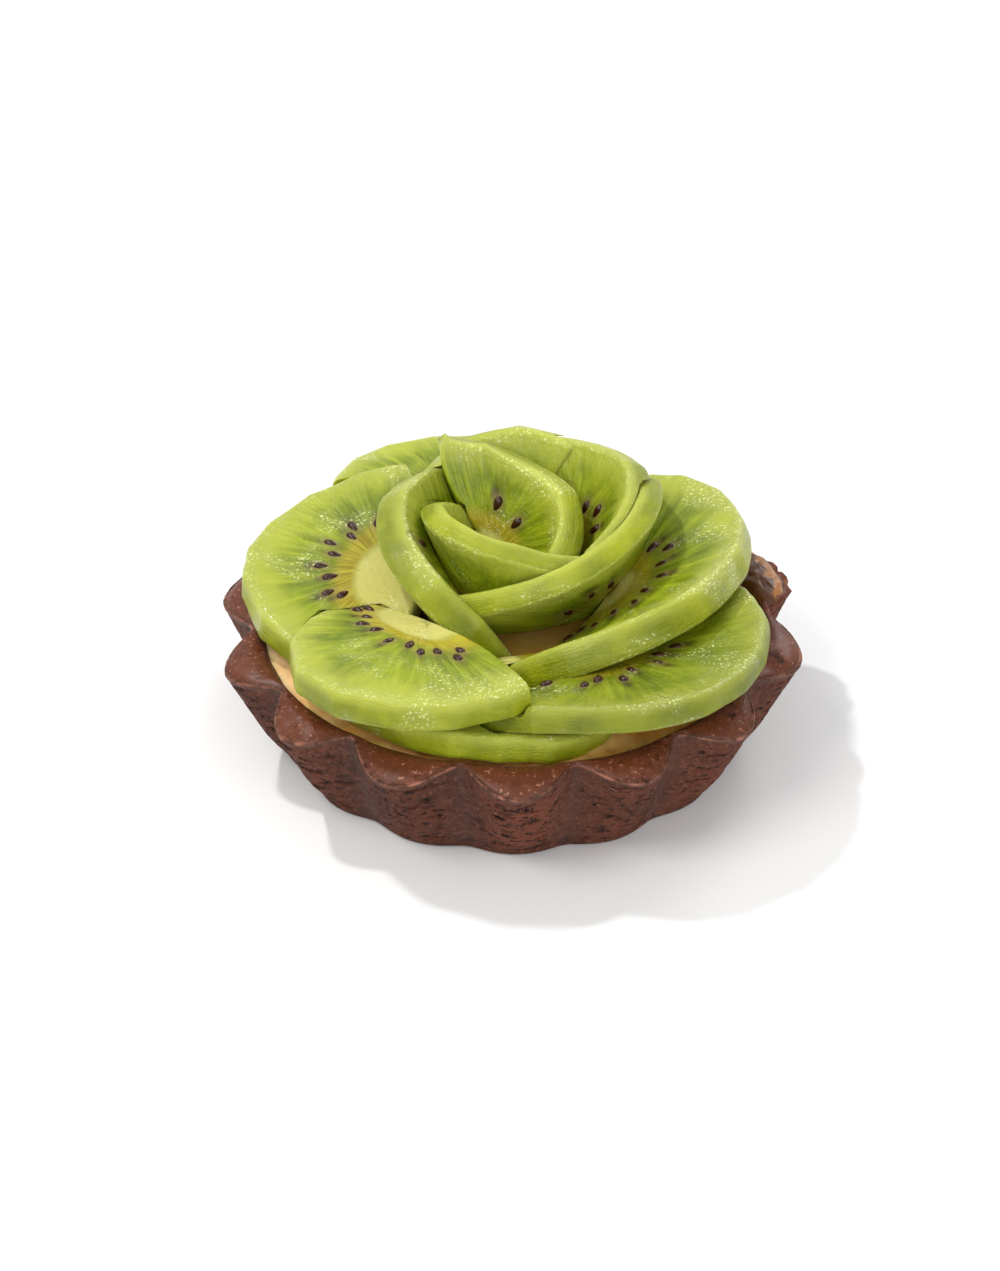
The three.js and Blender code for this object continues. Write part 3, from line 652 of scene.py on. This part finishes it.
# ---- crust
VALLEY_ROUND_FOOT, VALLEY_ROUND_RIM, WALL_FLARE = 0.28, 0.2, 0.92
LUMP, GRAIN, CRACK_DEPTH, PORE_DEPTH = 0.2, 0.1, 0.42, 0.26
CRUST_COLUMNS = 70
CRUST_SPANS = [1, 3, 13, 17, 17, 12, 3, 3, 3, 3, 3, 4, 4, 3, 2, 1]  # steps between the knots
WALL_KNOTS = 7


def valley_angles():
    """The valleys between the flutes all round: those in front as listed, the far ones evenly spaced."""
    near = [a - 90 for a in NEAR_VALLEYS]
    gap = 360 - (near[-1] - near[0])
    far = FLUTES - len(near)
    near += [near[-1] + gap * i / (far + 1) for i in range(1, far + 1)] + [near[0] + 360]
    return np.radians(near)


def fluted_columns(per_flute):
    """Angle, share of the flute and number of the flute for every upright column."""
    valleys = valley_angles()
    share = np.tile(np.arange(per_flute) / per_flute, FLUTES)
    flute = np.repeat(np.arange(FLUTES), per_flute)
    return mix(valleys[flute], valleys[flute + 1], share), share, flute


def lobe_at(share, height_share):
    """0 in a valley, 1 on a lobe; the valleys are rounded, more so low on the wall."""
    soft = mix(VALLEY_ROUND_FOOT, VALLEY_ROUND_RIM, height_share)
    wave = np.sin(np.pi * share)
    return (np.sqrt(wave ** 2 + soft ** 2) - soft) / (math.sqrt(1 + soft ** 2) - soft)


def wall_r(share, t):
    """Radius of the wall at the share t of its height."""
    lobe = lobe_at(share, t)
    foot, rim = mix(FOOT_VALLEY_R, FOOT_LOBE_R, lobe), mix(RIM_VALLEY_R, RIM_LOBE_R, lobe)
    return mix(foot, rim, t ** WALL_FLARE)


def rim_edge_z(share):
    """Height of the outer edge of the rim, lowest on the lobes."""
    return mix(EDGE_VALLEY_Z, EDGE_LOBE_Z, np.sin(np.pi * share) ** DIP_FULLNESS)


def inner_wall(z):
    (r0, z0), (r1, z1), (r2, z2) = INNER_ROWS
    return np.where(z > z1, mix(r1, r2, (z - z1) / (z2 - z1)), mix(r0, r1, (z - z0) / (z1 - z0)))


def crust_knots(share, burr):
    """Radius and height from the foot, up the wall, over the burr and the rim and down inside."""
    edge_z, foot, rim = rim_edge_z(share), wall_r(share, 0), wall_r(share, 1)
    crown = mix(CROWN_VALLEY_R, CROWN_LOBE_R, lobe_at(share, 1))
    none = np.zeros(len(share))
    rows = [(foot - FOOT_ROUND, none), (foot - 0.35, none + 0.32), (foot, none + FOOT_ROUND * 0.8)]
    rows += [(wall_r(share, t), edge_z * t) for t in (0.3, 0.54, 0.78, 0.95)]
    rows += [(rim + 0.02 * burr, edge_z - 0.12), (rim - 0.14, edge_z + 0.1 + 0.16 * burr),
             (rim - 0.4, edge_z + 0.2)]
    rows += [(mix(rim, crown, inward), mix(edge_z, CROWN_Z, up))
             for inward, up in ((0.17, 0.3), (0.34, 0.6), (0.62, 0.86))]
    rows += [(crown, none + CROWN_Z)] + [(none + r, none + z) for r, z in INNER_ROWS[::-1]]
    return np.array([np.stack(row, -1) for row in rows])


def catmull(knots, per_span):
    """Points along a smooth curve through the knots."""
    out = []
    for i, steps in enumerate(per_span):
        a, b = knots[max(i - 1, 0)], knots[i]
        c, d = knots[i + 1], knots[min(i + 2, len(knots) - 1)]
        for t in np.arange(steps) / steps:
            out.append(0.5 * (2 * b + (c - a) * t + (2 * a - 5 * b + 4 * c - d) * t * t
                              + (3 * b - a - 3 * c + d) * t ** 3))
    return np.array([*out, knots[-1]])


def crust_relief(at, outward, row, rows, share, flute, burr):
    """Cracks and pores of the wall, dents of the rim and the crumbled lobe: moved points and two maps."""
    z, edge_z = at[:, 2], rim_edge_z(share)
    wall_rows = sum(CRUST_SPANS[:WALL_KNOTS])
    on_wall = (row <= wall_rows) * smooth(0.2, 1.6, z) * smooth(0.2, 1.3, edge_z - z)
    top = (row > wall_rows) * smooth(0.05, 0.7, z - edge_z)
    lip = smooth(0.36, 0.06, np.abs(z - edge_z - 0.05)) * (np.abs(row - wall_rows - 2) < 6)
    valley = 1 - np.sin(np.pi * share)
    lumps = layered_noise(at * 0.2, 11, 3)
    grain = layered_noise(at * 1.1, 23, 2)
    # level cracks, most of them low on the lobes, and pores
    low_share = np.clip(z / EDGE_LOBE_Z, 0, 1)
    open_ = 0.33 - 0.12 * (1 - low_share) + 0.2 * smooth(0.45, 0.95, valley)
    cracks = smooth(open_, open_ + 0.13, layered_noise(at * np.array([0.5, 0.5, 1.55]), 31, 3, 0.62))
    pores = layered_noise(at * np.array([1.5, 1.5, 2.6]), 57, 2, 0.6)
    pores = smooth(0.36, 0.52, pores - 0.1 * valley)
    rough = LUMP * lumps + GRAIN * grain - CRACK_DEPTH * cracks - PORE_DEPTH * pores
    rough = on_wall * rough * (1 - 0.55 * valley ** 2)
    # the lobe whose edge has crumbled away
    crumbled = flute == CRUMBLED_LOBE
    bites = smooth(0, 0.3, layered_noise(at, 73, 2))
    ragged = crumbled * smooth(13.5, 16, z) * (row < rows - 6)
    ragged = ragged * (0.75 * layered_noise(at * 0.4, 71, 3) - 0.25 * bites)
    dent = top * smooth(0.42, 0.6, layered_noise(at * 0.8, 83, 2)) * 0.16
    wavy_lip = 0.09 * lip * layered_noise(at * 1.6, 87, 2)
    moved = at + outward * (rough + ragged + wavy_lip)[:, None]
    moved[:, 2] += top * (0.14 * lumps + 0.03 * grain) - dent + ragged * 0.8
    # cavity: where the crust material paints shade, in cracks, pores and dents
    cavity = on_wall * np.clip(cracks + 0.8 * pores, 0, 1) + dent * 3
    crumbly = np.clip(on_wall * (1 - valley) + crumbled * smooth(14, 16, z), 0, 1)
    crumb = np.stack([cavity, np.clip(top, 0, 1)], -1)
    return moved, crumb, np.stack([lip * np.clip(burr, 0, 1.3), crumbly], -1)


def build_crust(material):
    angle, share, flute = fluted_columns(CRUST_COLUMNS)
    ring = np.stack([np.cos(angle), np.sin(angle), 0 * angle], -1)
    burr = 0.7 + 0.9 * layered_noise(ring * 22, 3, 3)
    profile = catmull(crust_knots(share, burr), CRUST_SPANS)
    rows, columns = profile.shape[:2]
    outward = np.tile(ring, (rows, 1))
    at = outward * profile[..., 0].reshape(-1, 1)
    at[:, 2] = profile[..., 1].ravel()
    moved, crumb, lip = crust_relief(at, outward, np.repeat(np.arange(rows), columns), rows,
                                     np.tile(share, rows), np.tile(flute, rows), np.tile(burr, rows))
    poles = [[0, 0, 0], [0, 0, FLOOR_THICK]]
    points, faces = closed_tube(moved.reshape(rows, columns, 3), poles)
    maps = {name: np.vstack([pair, np.zeros((2, 2))]) for name, pair in (("crumb", crumb), ("lip", lip))}
    return make_piece("crust_baked", points, faces, material, 80, maps)


# ---- cream
CREAM_COLUMNS, CREAM_STEPS = 26, 56
CREAM_KNOTS = [0, 0.5, 0.72, 0.87, 1.0]  # shares of the way from the middle to the edge
CREAM_HEIGHTS = [CREAM_TOP, CREAM_TOP, CREAM_SHOULDER_TOP, (CREAM_SHOULDER_TOP + CREAM_EDGE_TOP) / 2 - 0.3,
                 CREAM_EDGE_TOP]
CREAM_HEAP = [0, 0, 1, 0.7, 0.2]
CREAM_SINK = 0.05
SMEAR_RINGS, SMEAR_SIDES = 40, 72


def build_cream(material):
    """The cream from the floor of the shell up to its wavy top."""
    angle, _, _ = fluted_columns(CREAM_COLUMNS)
    none = np.zeros(len(angle))
    clear = GAP * 0.4
    edge = inner_wall(none + CREAM_EDGE_TOP) - clear
    towards = np.maximum(0, np.cos(angle - math.radians(HEAP_ANGLE - 90))) ** 1.5
    rings = []
    for share in np.linspace(0.02, 1, CREAM_STEPS):
        r = CREAM_REACH * share + (edge - CREAM_REACH) * smooth(0.6, 1, share)
        heap = HEAP_RISE * np.interp(share, CREAM_KNOTS, CREAM_HEAP) * towards
        z = np.interp(share, CREAM_KNOTS, CREAM_HEIGHTS) + heap
        at = np.stack([r * np.cos(angle), r * np.sin(angle), z], -1)
        swirl = 0.45 * layered_noise(at * 0.3, 91, 2) + 0.16 * layered_noise(at * 1.1, 97, 2)
        at[:, 2] += smooth(0.5, 0.75, share) * swirl - CREAM_SINK
        rings.append(at)
    for z in (INNER_ROWS[1][1], FLOOR_THICK + GAP):
        r = inner_wall(none + z) - clear
        rings.append(np.stack([r * np.cos(angle), r * np.sin(angle), none + z], -1))
    poles = [[0, 0, CREAM_TOP - CREAM_SINK], [0, 0, FLOOR_THICK + GAP]]
    points, faces = closed_tube(np.array(rings), poles, flip=True)
    return make_piece("cream_spread", points, faces, material, 60)


def build_smear(material):
    """A lumpy ellipsoid of cream lying on the crumbled lobe."""
    heading = math.radians(SMEAR_AT[0] - 90)
    outward = np.array([math.cos(heading), math.sin(heading), 0])
    side = np.array([-math.sin(heading), math.cos(heading), 0])
    centre = outward * SMEAR_AT[1] + np.array([0, 0, SMEAR_AT[2]])
    up = np.pi * (np.arange(SMEAR_RINGS) + 0.5)[:, None] / SMEAR_RINGS
    a = TAU * np.arange(SMEAR_SIDES)[None, :] / SMEAR_SIDES
    reach = np.sin(up) + 0 * a
    at = (centre + side * (SMEAR_HALF[0] * reach * np.cos(a))[..., None]
          + outward * (SMEAR_HALF[1] * reach * np.sin(a))[..., None])
    at[..., 2] -= SMEAR_HALF[2] * np.cos(up)
    flat = at.reshape(-1, 3)
    bump = layered_noise(flat * 0.55, 103, 3)
    clots = smooth(0.1, 0.5, layered_noise(flat * 1.2, 107, 2))
    flat = flat + unit(flat - centre) * (0.6 * bump - 0.25 + 0.2 * clots)[:, None]
    band = np.stack([(flat - centre) @ outward / SMEAR_HALF[1], (flat - centre) @ side / SMEAR_HALF[0]], -1)
    points, faces = closed_tube(flat.reshape(SMEAR_RINGS, SMEAR_SIDES, 3))
    return make_piece("cream_smear", points, faces, material, 60, {"band": band})


# ---- materials
class Nodes:
    """A few words for building a node material."""

    def __init__(self, name):
        self.material = bpy.data.materials.new(name)
        self.material.use_nodes = True
        self.tree = self.material.node_tree
        self.shader = self.tree.nodes["Principled BSDF"]
        self.place = self.put("ShaderNodeTexCoord", {})["Object"]
        self.colour = None

    def feed(self, sockets, values):
        """Links each named socket to another one, or sets its value."""
        for key, value in values.items():
            if isinstance(value, bpy.types.NodeSocket):
                self.tree.links.new(value, sockets[key])
            elif value is not None:
                sockets[key].default_value = value

    def put(self, kind, values, **settings):
        """The outputs of a new node, whose sockets get the values."""
        node = self.tree.nodes.new(kind)
        for key, value in settings.items():
            setattr(node, key, value)
        self.feed(node.inputs, values)
        return node.outputs

    def math(self, op, a, b=None, clamp=False):
        return self.put("ShaderNodeMath", {0: a, 1: b}, operation=op, use_clamp=clamp)[0]

    def times(self, first, *others):
        for other in others:
            first = self.math("MULTIPLY", first, other)
        return first

    def plus(self, a, b, clamp=False):
        return self.math("ADD", a, b, clamp)

    def length(self, x, y):
        return self.math("SQRT", self.plus(self.times(x, x), self.times(y, y)))

    def ramp(self, value, low, high, out_low=0, out_high=1):
        """A soft step from out_low at low to out_high at high."""
        values = dict(enumerate((value, low, high, out_low, out_high)))
        return self.put("ShaderNodeMapRange", values, interpolation_type="SMOOTHSTEP")[0]

    def blend(self, share, a, b):
        """Between the values a and b."""
        return self.put("ShaderNodeMix", {0: share, 2: a, 3: b}, data_type="FLOAT")[0]

    def mix(self, share, a, b, blend="MIX"):
        """Between the colours a and b."""
        return self.put("ShaderNodeMix", {0: share, 6: a, 7: b}, data_type="RGBA", blend_type=blend)[2]

    def lay(self, colour, *shares):
        """Lays a colour over the one so far, as strongly as all the shares allow."""
        self.colour = self.mix(self.times(*shares), self.colour, colour)

    def noise(self, scale, detail=2, rough=0.5, at=None):
        """Noise over the place in metres, or over another vector."""
        vector = self.place if at is None else at
        values = {"Vector": vector, "Scale": scale, "Detail": detail, "Roughness": rough}
        return self.put("ShaderNodeTexNoise", values)["Fac"]

    def combine(self, x, y, z):
        return self.put("ShaderNodeCombineXYZ", {0: x, 1: y, 2: z})[0]

    def split(self, vector):
        return self.put("ShaderNodeSeparateXYZ", {0: vector})

    def uv(self, name):
        """The pair of values in a UV map."""
        return self.split(self.put("ShaderNodeUVMap", {}, uv_map=name)[0])

    def bump(self, height, distance, strength, normal=None):
        values = {"Height": height, "Distance": distance, "Strength": strength, "Normal": normal}
        return self.put("ShaderNodeBump", values)[0]

    def set(self, **values):
        """Sets or links the shader's own sockets."""
        self.feed(self.shader.inputs, {key.replace("_", " "): value for key, value in values.items()})


def rgb(r, g, b):
    """A colour given as it is seen, 0 to 255, made linear."""
    def linear(c):
        c /= 255
        return c / 12.92 if c <= 0.04045 else ((c + 0.055) / 1.055) ** 2.4
    return (linear(r), linear(g), linear(b), 1)


# the tint of the painted shade on whole slices
PAINTED_SHADE_TINT = (0.6, 0.62, 0.4, 1)


def kiwi_material():
    """Wet flesh with rays, pockets, a pale core and a peeled rind. Cut ends have clouds for rays."""
    m = Nodes("kiwi_flesh")
    ring, edge, spots, deep, core = [m.uv(name) for name in ("ring", "edge", "spots", "deep", "core")]
    x, y, share = ring[0], m.math("MAXIMUM", ring[1], 0), edge[0]
    away = m.length(x, y)
    angle = m.math("ARCTAN2", y, x)
    side = m.math("ABSOLUTE", edge[1])
    rind = m.times(m.ramp(share, 0.955, 0.99), m.ramp(side, 0.96, 0.76))
    cut = m.times(m.ramp(share, 0.985, 0.965), m.ramp(side, 0.97, 0.85))
    which = m.times(m.plus(edge[1], deep[1]), 9)
    cloud = m.noise(150, 3, 0.55)
    grain = m.noise(520, 3, 0.6)
    rays = m.noise(1, 3, 0.6, at=m.combine(m.times(angle, 8), m.times(away, 0.8), which))
    thin = m.noise(1, 2, 0.6, at=m.combine(m.times(angle, 26), m.times(away, 1.4), which))
    rays = m.blend(cut, rays, grain)
    thin = m.blend(cut, thin, grain)
    # flesh with soft pale and dark streaks, paler towards the rind
    m.colour = m.mix(m.ramp(cloud, 0.3, 0.7), rgb(98, 118, 0), rgb(136, 152, 8))
    streak = m.plus(m.ramp(rays, 0.4, 0.7), m.ramp(thin, 0.42, 0.72))
    m.lay(rgb(188, 194, 52), streak, 0.29, m.ramp(away, 0.8, 1.15))
    dark_ray = m.times(m.ramp(rays, 0.52, 0.32), m.ramp(away, 0.9, 1.1), m.ramp(away, 2.1, 1.4))
    m.lay(rgb(78, 96, 0), dark_ray, 0.42)
    rim = m.ramp(m.plus(share, m.times(cloud, 0.12)), 0.78, 1.04)
    m.lay(rgb(178, 184, 72), rim, 0.66)
    # the seeds' zone: dark pockets, yellow between them and the core, seeds that show through
    m.lay(rgb(72, 74, 10), spots[0], 0.75)
    yellow = m.times(m.ramp(core[0], 0.42, 0.56), m.ramp(core[0], 0.98, 0.7))
    amber = m.mix(m.ramp(thin, 0.35, 0.65), rgb(150, 126, 10), rgb(196, 182, 56))
    m.lay(amber, yellow, 0.8)
    heart = m.ramp(m.plus(core[0], m.times(thin, 0.16)), 0.66, 0.5)
    m.lay(m.mix(cloud, rgb(190, 184, 92), rgb(210, 202, 122)), heart)
    m.lay(rgb(52, 30, 12), deep[0], 0.8)
    m.lay(rgb(176, 150, 90), spots[1], 0.4)
    # the peeled rind: pale under the upper face, greener below, softly clouded
    patches = m.noise(130, 3, 0.55)
    peel = m.mix(m.ramp(patches, 0.32, 0.7), rgb(126, 136, 0), rgb(158, 166, 18))
    upper = m.ramp(m.plus(edge[1], m.times(cloud, 0.5)), 0.3, -0.6, 0, 0.55)
    m.lay(m.mix(upper, peel, rgb(190, 196, 84)), rind)
    # painted shade: some whole slices darkened, as read from the core map's second value
    m.colour = m.mix(core[1], m.colour, PAINTED_SHADE_TINT, "MULTIPLY")
    # a wet, pulpy surface; pale specks painted into the colour stand in for glints, most of them along the
    # edges
    corner = m.times(m.ramp(share, 0.94, 0.985), m.ramp(side, 0.6, 0.93))
    wet = m.ramp(m.noise(120, 2.5), 0.5, 0.68)
    lively = m.plus(m.times(corner, 0.6), m.times(wet, 0.9), clamp=True)
    # painted highlight: near-white specks where the flesh is most lively
    painted_glints = m.ramp(m.plus(m.noise(2500, 1), m.times(lively, 0.1)), 0.665, 0.77)
    m.lay(rgb(228, 232, 168), painted_glints, m.ramp(lively, 0.15, 0.8, 0.05, 0.62))
    ridge = m.plus(rays, m.times(thin, 0.6))
    normal = m.bump(ridge, 0.0004, m.times(m.ramp(away, 0.7, 1.1), 0.6))
    soft = m.bump(m.noise(1250, 2, 0.6), 0.0003, 0.5, normal)
    drops = m.ramp(m.noise(2100, 1), 0.45, 0.75)
    sharp = m.bump(drops, 0.0005, m.ramp(lively, 0, 1, 0.2, 0.9), soft)
    m.set(Base_Color=m.colour, Roughness=m.ramp(cloud, 0.35, 0.7, 0.36, 0.5), IOR=1.34, Normal=soft)
    m.set(Coat_Weight=m.ramp(lively, 0, 1, 0.16, 0.8), Coat_Roughness=0.06, Coat_IOR=1.52,
          Coat_Normal=sharp, Subsurface_Weight=0.8, Subsurface_Scale=0.0012, Subsurface_Radius=(1, 1, 0.25))
    return m.material


def seed_material():
    m = Nodes("kiwi_seed")
    tone = m.noise(900)
    m.set(Base_Color=m.mix(tone, rgb(24, 8, 0), rgb(66, 28, 8)), IOR=1.38,
          Roughness=m.ramp(tone, 0.3, 0.7, 0.24, 0.4), Coat_Weight=0.12, Coat_Roughness=0.1,
          Normal=m.bump(m.noise(2600), 0.0001, 0.4))
    return m.material


def crust_material():
    """Baked chocolate crust: pitted on the lobes of the wall, satin on the rim and in the valleys, with
    painted shade in its cracks, pits, dents and valleys.
    """
    m = Nodes("chocolate_crust")
    (cavity, top, _), (lip, crumbly, _) = m.uv("crumb"), m.uv("lip")
    at = m.split(m.place)
    level = m.combine(at[0], at[1], m.times(at[2], 2.2))
    tone = m.ramp(m.noise(90, 4, 0.6), 0.3, 0.7)
    fine = m.noise(1100, 4, 0.65)
    torn = m.ramp(m.noise(95), 0.5, 0.62)
    rough = m.blend(top, m.ramp(crumbly, 0, 1, 0.3, 1), m.times(torn, 0.8))
    # pits and short level cracks, with pale crumbs round them
    pit_noise = m.noise(560, 2.5, 0.62, at=level)
    pits = m.times(m.ramp(pit_noise, 0.575, 0.65), rough)
    crumbs = m.times(m.ramp(pit_noise, 0.5, 0.58), m.ramp(pit_noise, 0.64, 0.6), rough,
                     m.ramp(fine, 0.4, 0.62))
    # lobes, valleys and rim; the valleys' darker colour is painted shade in the recesses between the lobes
    lobes = m.mix(tone, rgb(76, 37, 20), rgb(108, 56, 35))
    # painted shade: the valleys' colour is darker than the lobes'
    valleys = m.mix(tone, rgb(58, 31, 19), rgb(80, 45, 29))
    rim = m.mix(m.noise(260, 3), rgb(76, 37, 20), rgb(108, 56, 34))
    m.colour = m.mix(top, m.mix(crumbly, valleys, lobes), rim)
    m.lay(rgb(132, 78, 58), m.ramp(fine, 0.48, 0.7), 0.35)
    m.lay(rgb(158, 100, 78), crumbs, 0.6)
    dots = m.ramp(m.noise(1500, 2, 0.6), 0.62, 0.72)
    m.lay(rgb(176, 122, 96), dots, top, 0.75)
    # painted shade: cracks, pores, dents and pits darkened nearly to black
    painted_hollow_shade = m.plus(m.times(cavity, 0.6), m.times(pits, 0.85), clamp=True)
    m.lay(rgb(26, 11, 8), painted_hollow_shade)
    broken = m.ramp(m.noise(420, 3, 0.6), 0.42, 0.6)
    m.lay(rgb(164, 106, 84), lip, broken, 0.8)
    height = m.math("SUBTRACT", m.plus(fine, m.times(crumbs, 0.6)), m.times(pits, 1.3))
    m.set(Base_Color=m.colour, Roughness=m.ramp(rough, 0, 1, 0.4, 0.8), IOR=1.35,
          Normal=m.bump(height, 0.0005, m.ramp(rough, 0, 1, 0.16, 1)))
    return m.material


def cream_finish(m, tone, coat):
    m.set(Base_Color=m.colour, Roughness=m.ramp(tone, 0.3, 0.7, 0.28, 0.45), IOR=1.38,
          Normal=m.bump(m.noise(650, 3), 0.0003, 0.5), Coat_Weight=coat, Coat_Roughness=0.18,
          Subsurface_Weight=0.4, Subsurface_Scale=0.002, Subsurface_Radius=(1, 0.6, 0.3))
    return m.material


def cream_material():
    """Praline cream: smooth and glossy, with painted shade darkening the middle under the slices, paler
    towards the left.
    """
    m = Nodes("praline_cream")
    at = m.split(m.place)
    tone = m.noise(180, 3, 0.55)
    m.colour = m.mix(m.ramp(tone, 0.3, 0.7), rgb(224, 152, 70), rgb(248, 196, 124))
    clots = m.ramp(m.noise(330, 3, 0.6), 0.5, 0.62)
    m.lay(rgb(62, 32, 18), clots, 0.2)
    # painted shade: the cream in the middle, under the slices, is darkened
    painted_middle_shade = m.ramp(m.length(at[0], at[1]), 0.027, 0.021)
    m.lay(m.mix(tone, rgb(92, 70, 16), rgb(128, 98, 34)), painted_middle_shade, 0.85)
    # paler towards the left side
    paler_left = m.ramp(at[0], -0.022, -0.034)
    m.lay(rgb(250, 232, 190), paler_left, 0.36)
    return cream_finish(m, tone, 0.3)


def smear_material():
    """A caramel band between cream painted dark brown on the inside, as shade, and chocolate crumbs on the
    outside.
    """
    m = Nodes("crumby_cream")
    tone = m.noise(180, 3, 0.55)
    wander = m.times(m.math("SUBTRACT", m.noise(300, 3, 0.6), 0.5), 1.3)
    across = m.plus(m.uv("band")[0], wander)
    # painted shade: the band's inner side, towards the tart's middle, is dark brown
    inside = m.mix(m.noise(420, 3, 0.6), rgb(54, 28, 10), rgb(106, 64, 30))
    caramel = m.mix(tone, rgb(136, 82, 40), rgb(184, 128, 72))
    m.colour = m.mix(m.ramp(across, 0.12, 0.3), inside, caramel)
    crumbs = m.mix(m.noise(800, 3, 0.6), rgb(44, 22, 16), rgb(96, 56, 42))
    m.lay(crumbs, m.ramp(across, 0.62, 0.8))
    return cream_finish(m, tone, 0)


def floor_material():
    m = Nodes("studio_floor")
    tone = m.noise(30, 3)
    m.set(Base_Color=m.mix(tone, (0.76, 0.76, 0.76, 1), (0.78, 0.78, 0.78, 1)), Roughness=0.9)
    return m.material


# ---- the tart
kiwi = kiwi_material()

crust_piece = build_crust(crust_material())
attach(crust_piece, "root")
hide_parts("crust")

cream_piece = build_cream(cream_material())
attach(cream_piece, "root")
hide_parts("cream")

smear_piece = build_smear(smear_material())
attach(smear_piece, "root")

for petal, piece in zip(SLICES, build_slices(kiwi)):
    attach(piece, "root")
    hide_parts(petal.name)

seeds_piece = build_seeds(seed_material())
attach(seeds_piece, "root")

# ---- floor, light and camera
FLOOR_HALF, FLOOR_Z = 3000, -0.05
LIGHT_TARGET = Vector((0, 0, 0.018))
# place, size, power and colour
LIGHTS = {
    "key": ((-0.38, -0.26, 0.6), 0.38, 2.4, (1, 0.98, 0.95)),
    "back": ((0.3, 0.5, 0.45), 0.35, 1.6, (1, 1, 1)),
    "fill": ((0.25, -0.56, 0.32), 0.6, 2.5, (1, 1, 1)),
    "sparkle": ((-0.3, 0.2, 0.6), 0.045, 2.1, (1, 1, 1)),
}
WORLD_STRENGTH = 0.55
CAMERA_DISTANCE = 0.45
CAMERA_ELEVATION = math.radians(34.64)
CAMERA_AIM = Vector((-0.00163, 0.00001, 0.01393))
SENSOR = 36
FOCAL_PIXELS, FRAME_PIXELS = 3039.9, 1271

floor = make_object("floor", make_mesh("floor", square(FLOOR_HALF, FLOOR_Z), [(0, 1, 2, 3)]))
floor.data.materials.append(floor_material())


def aimed(obj, at, look):
    """Puts a light or camera at a place, looking along a direction."""
    obj.location = at
    obj.rotation_euler = look.to_track_quat("-Z", "Y").to_euler()
    return obj


for name, (at, size, power, colour) in LIGHTS.items():
    lamp = bpy.data.lights.new(name, "AREA")
    lamp.shape = "DISK"
    lamp.size = size
    lamp.energy = power
    lamp.color = colour
    aimed(make_object(name, lamp), at, LIGHT_TARGET - Vector(at))

world = bpy.data.worlds.new("studio")
world.use_nodes = True
backdrop = world.node_tree.nodes["Background"]
backdrop.inputs["Color"].default_value = (1, 1, 1, 1)
backdrop.inputs["Strength"].default_value = WORLD_STRENGTH
bpy.context.scene.world = world

camera_data = bpy.data.cameras.new("camera")
camera_data.lens = SENSOR * FOCAL_PIXELS / FRAME_PIXELS
camera_data.sensor_width = SENSOR
camera_data.clip_start = 0.01
back = Vector((0, -math.cos(CAMERA_ELEVATION), math.sin(CAMERA_ELEVATION)))
camera = aimed(make_object("camera", camera_data), CAMERA_AIM + back * CAMERA_DISTANCE, -back)
bpy.context.scene.camera = camera
bpy.context.scene.view_settings.view_transform = "Standard"
